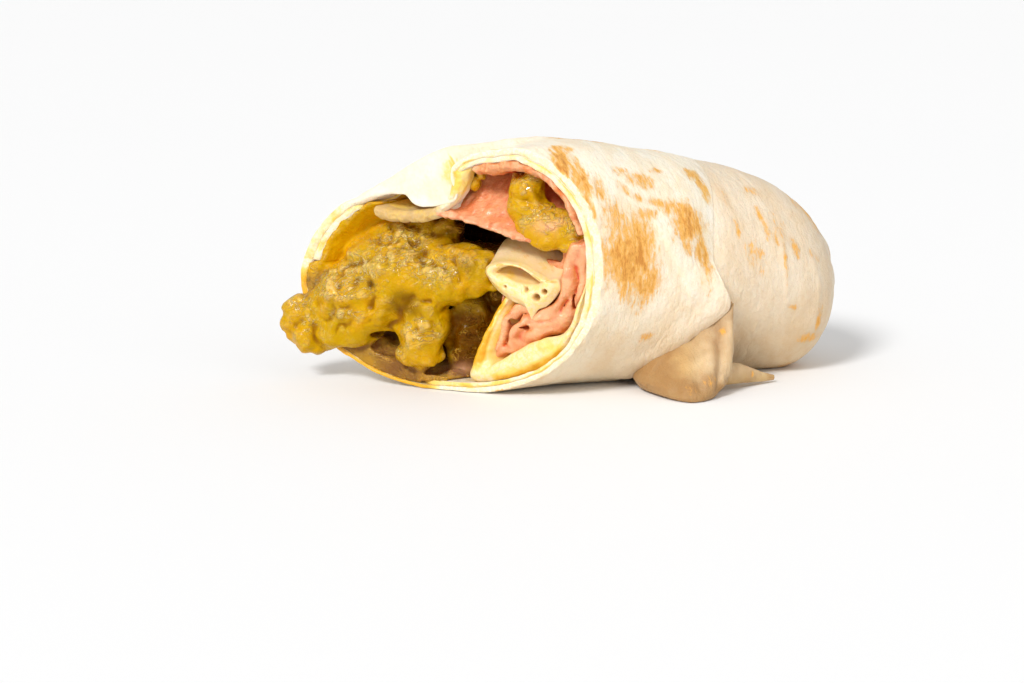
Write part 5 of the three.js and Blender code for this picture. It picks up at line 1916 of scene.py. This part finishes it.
class BurritoLooks(bpy.types.PropertyGroup):
    """Colours of the tortilla, ham and mash"""

    tortilla_pale: colour_property("Tortilla", "Floury skin", (0.94, 0.84, 0.68))
    tortilla_warm: colour_property("Tortilla Warm", "Warm mottling of the skin", (0.88, 0.71, 0.49))
    # Painted shade, with the underside's own warmer colour, for the lower sides, the pouch and the lip.
    tortilla_under_shade: colour_property("Tortilla Below", "Tint of the underside", (0.74, 0.58, 0.33))
    # Painted shade for the pouch, the rear, the outer turn's edge over the pouch and the lip.
    tortilla_shade: colour_property("Tortilla Shade", "Tint in the pouch's folds", (0.60, 0.49, 0.39))
    crumb: colour_property("Crumb", "Cut face of the dough", (0.95, 0.85, 0.66))
    crumb_hollow: colour_property("Crumb Pores", "Pores of the cut face", (0.95, 0.79, 0.48))
    toast: colour_property("Toast", "Toasted patches", (0.86, 0.42, 0.055))
    toast_dark: colour_property("Toast Dark", "Darkest toast", (0.58, 0.21, 0.02))
    oil_thin: colour_property("Oil", "Thin oil stain", (0.93, 0.62, 0.11))
    oil_deep: colour_property("Oil Deep", "Deep golden oil", (0.84, 0.42, 0.008))
    inner_pale: colour_property("Inner Tortilla", "Moist inner dough", (0.94, 0.70, 0.40))
    inner_warm: colour_property("Inner Warm", "Mottling of the inner dough", (0.92, 0.68, 0.24))
    # Painted shade inside the air holes.
    pit: colour_property("Air Holes", "Inside of air holes", (0.45, 0.20, 0.02))
    ham: colour_property("Ham", "Pink flesh", (0.77, 0.245, 0.06))
    ham_pale: colour_property("Ham Pale", "Pale flesh", (0.90, 0.42, 0.18))
    ham_deep: colour_property("Ham Fibres", "Fibres", (0.66, 0.17, 0.05))
    ham_edge: colour_property("Ham Edge", "Cut edges", (0.93, 0.50, 0.27))
    # Painted shade deep in the ham's folds and behind its cut.
    ham_shade: colour_property("Ham Folds", "Deep in the folds", (0.74, 0.055, 0.003))
    mash: colour_property("Mash", "Mustard coloured mash", (0.63, 0.325, 0.001))
    mash_green: colour_property("Mash Green", "Greener mash", (0.55, 0.315, 0.001))
    # Pale crumpled skin and painted highlights on its tops and wrinkles.
    mash_pale_and_glints: colour_property("Mash Pale", "Pale bits", (1.0, 0.80, 0.36))
    # Painted shade in the hollows and creases.
    mash_crease_shade: colour_property("Mash Dark", "Creases", (0.26, 0.095, 0.0))
    mash_gold: colour_property("Mash Gold", "Thin film on the lining", (0.72, 0.37, 0.001))
    # Painted glints on the wrinkles in the hollows.
    mash_glint: colour_property("Mash Glint", "Wrinkles in the hollows", (0.66, 0.36, 0.05))
    # Browner mash together with painted shade in the hollows and deep behind the cut.
    mash_brown_and_shade: colour_property("Mash Brown", "Hollows", (0.12, 0.036, 0.0))


class BurritoStage(bpy.types.PropertyGroup):
    """Floor, lights and lens"""

    floor_colour: colour_property("Floor", "Colour of the floor", (0.89, 0.89, 0.89))
    fill: strength_property("Fill", "Strength of the light from all round", 0.66)
    key_strength: strength_property("Key Light", "Strength of the main light", 2.2)
    side_strength: strength_property("Side Light", "Strength of the soft front light", 0.24)
    glint_strength: strength_property("Glints", "Strength of each small light", 0.9)
    lens: FloatProperty(name="Lens", description="Focal length", default=90.7, unit="CAMERA", min=10)


# ---------------------------------------------------------------- operators


def run(*builders):
    """Runs the builders of one operator, in order."""
    for build in builders:
        build()
    return {"FINISHED"}


class BURRITO_OT_effects(bpy.types.Operator):
    """Make the shader groups that the materials share"""

    bl_idname = "burrito.effects"
    bl_label = "Shared Effects"

    def execute(self, context):
        return run(make_toast_group, make_flour_group, make_stain_group, make_wet_group)


class BURRITO_OT_wrap(bpy.types.Operator):
    """Build the two turns, the pouch and the lip"""

    bl_idname = "burrito.wrap"
    bl_label = "Wrap"

    def execute(self, context):
        return run(wrap_body, wrap_outer, wrap_pouch, wrap_lip)


class BURRITO_OT_inner_fold(bpy.types.Operator):
    """Build the tortilla's inner end"""

    bl_idname = "burrito.inner_fold"
    bl_label = "Inner Fold"

    def execute(self, context):
        return run(inner_fold)


class BURRITO_OT_ham(bpy.types.Operator):
    """Build the three slices of ham"""

    bl_idname = "burrito.ham"
    bl_label = "Ham"

    def execute(self, context):
        return run(ham_top, ham_hanging, ham_side)


class BURRITO_OT_mash(bpy.types.Operator):
    """Build the heap of mash and the chunk at the side"""

    bl_idname = "burrito.mash"
    bl_label = "Mash"

    def execute(self, context):
        return run(mash_heap, mash_side)


class BURRITO_OT_stage(bpy.types.Operator):
    """Build the floor, lights and camera"""

    bl_idname = "burrito.stage"
    bl_label = "Stage"

    def execute(self, context):
        return run(stage)


OPERATORS = [
    BURRITO_OT_effects,
    BURRITO_OT_wrap,
    BURRITO_OT_inner_fold,
    BURRITO_OT_ham,
    BURRITO_OT_mash,
    BURRITO_OT_stage,
]


class BURRITO_PT_panel(bpy.types.Panel):
    """The burrito's settings and steps"""

    bl_label = "Burrito"
    bl_idname = "BURRITO_PT_panel"
    bl_space_type = "VIEW_3D"
    bl_region_type = "UI"
    bl_category = "Burrito"

    def draw(self, context):
        for group in (context.scene.burrito_sizes, context.scene.burrito_looks, context.scene.burrito_stage):
            for name in group.__annotations__:
                self.layout.prop(group, name)
        for operator in OPERATORS:
            self.layout.operator(operator.bl_idname)


GROUPS = {"burrito_sizes": BurritoSizes, "burrito_looks": BurritoLooks, "burrito_stage": BurritoStage}
CLASSES = [*GROUPS.values(), *OPERATORS, BURRITO_PT_panel]


def register():
    """Adds the settings, operators and panel."""
    for item in CLASSES:
        bpy.utils.register_class(item)
    for name, group in GROUPS.items():
        setattr(bpy.types.Scene, name, PointerProperty(type=group))


def unregister():
    """Takes them out again."""
    for name in GROUPS:
        delattr(bpy.types.Scene, name)
    for item in reversed(CLASSES):
        bpy.utils.unregister_class(item)


def main():
    """Registers the add-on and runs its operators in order."""
    register()
    for operator in OPERATORS:
        getattr(bpy.ops.burrito, operator.bl_idname.split(".")[1])()


if __name__ == "__main__":
    main()
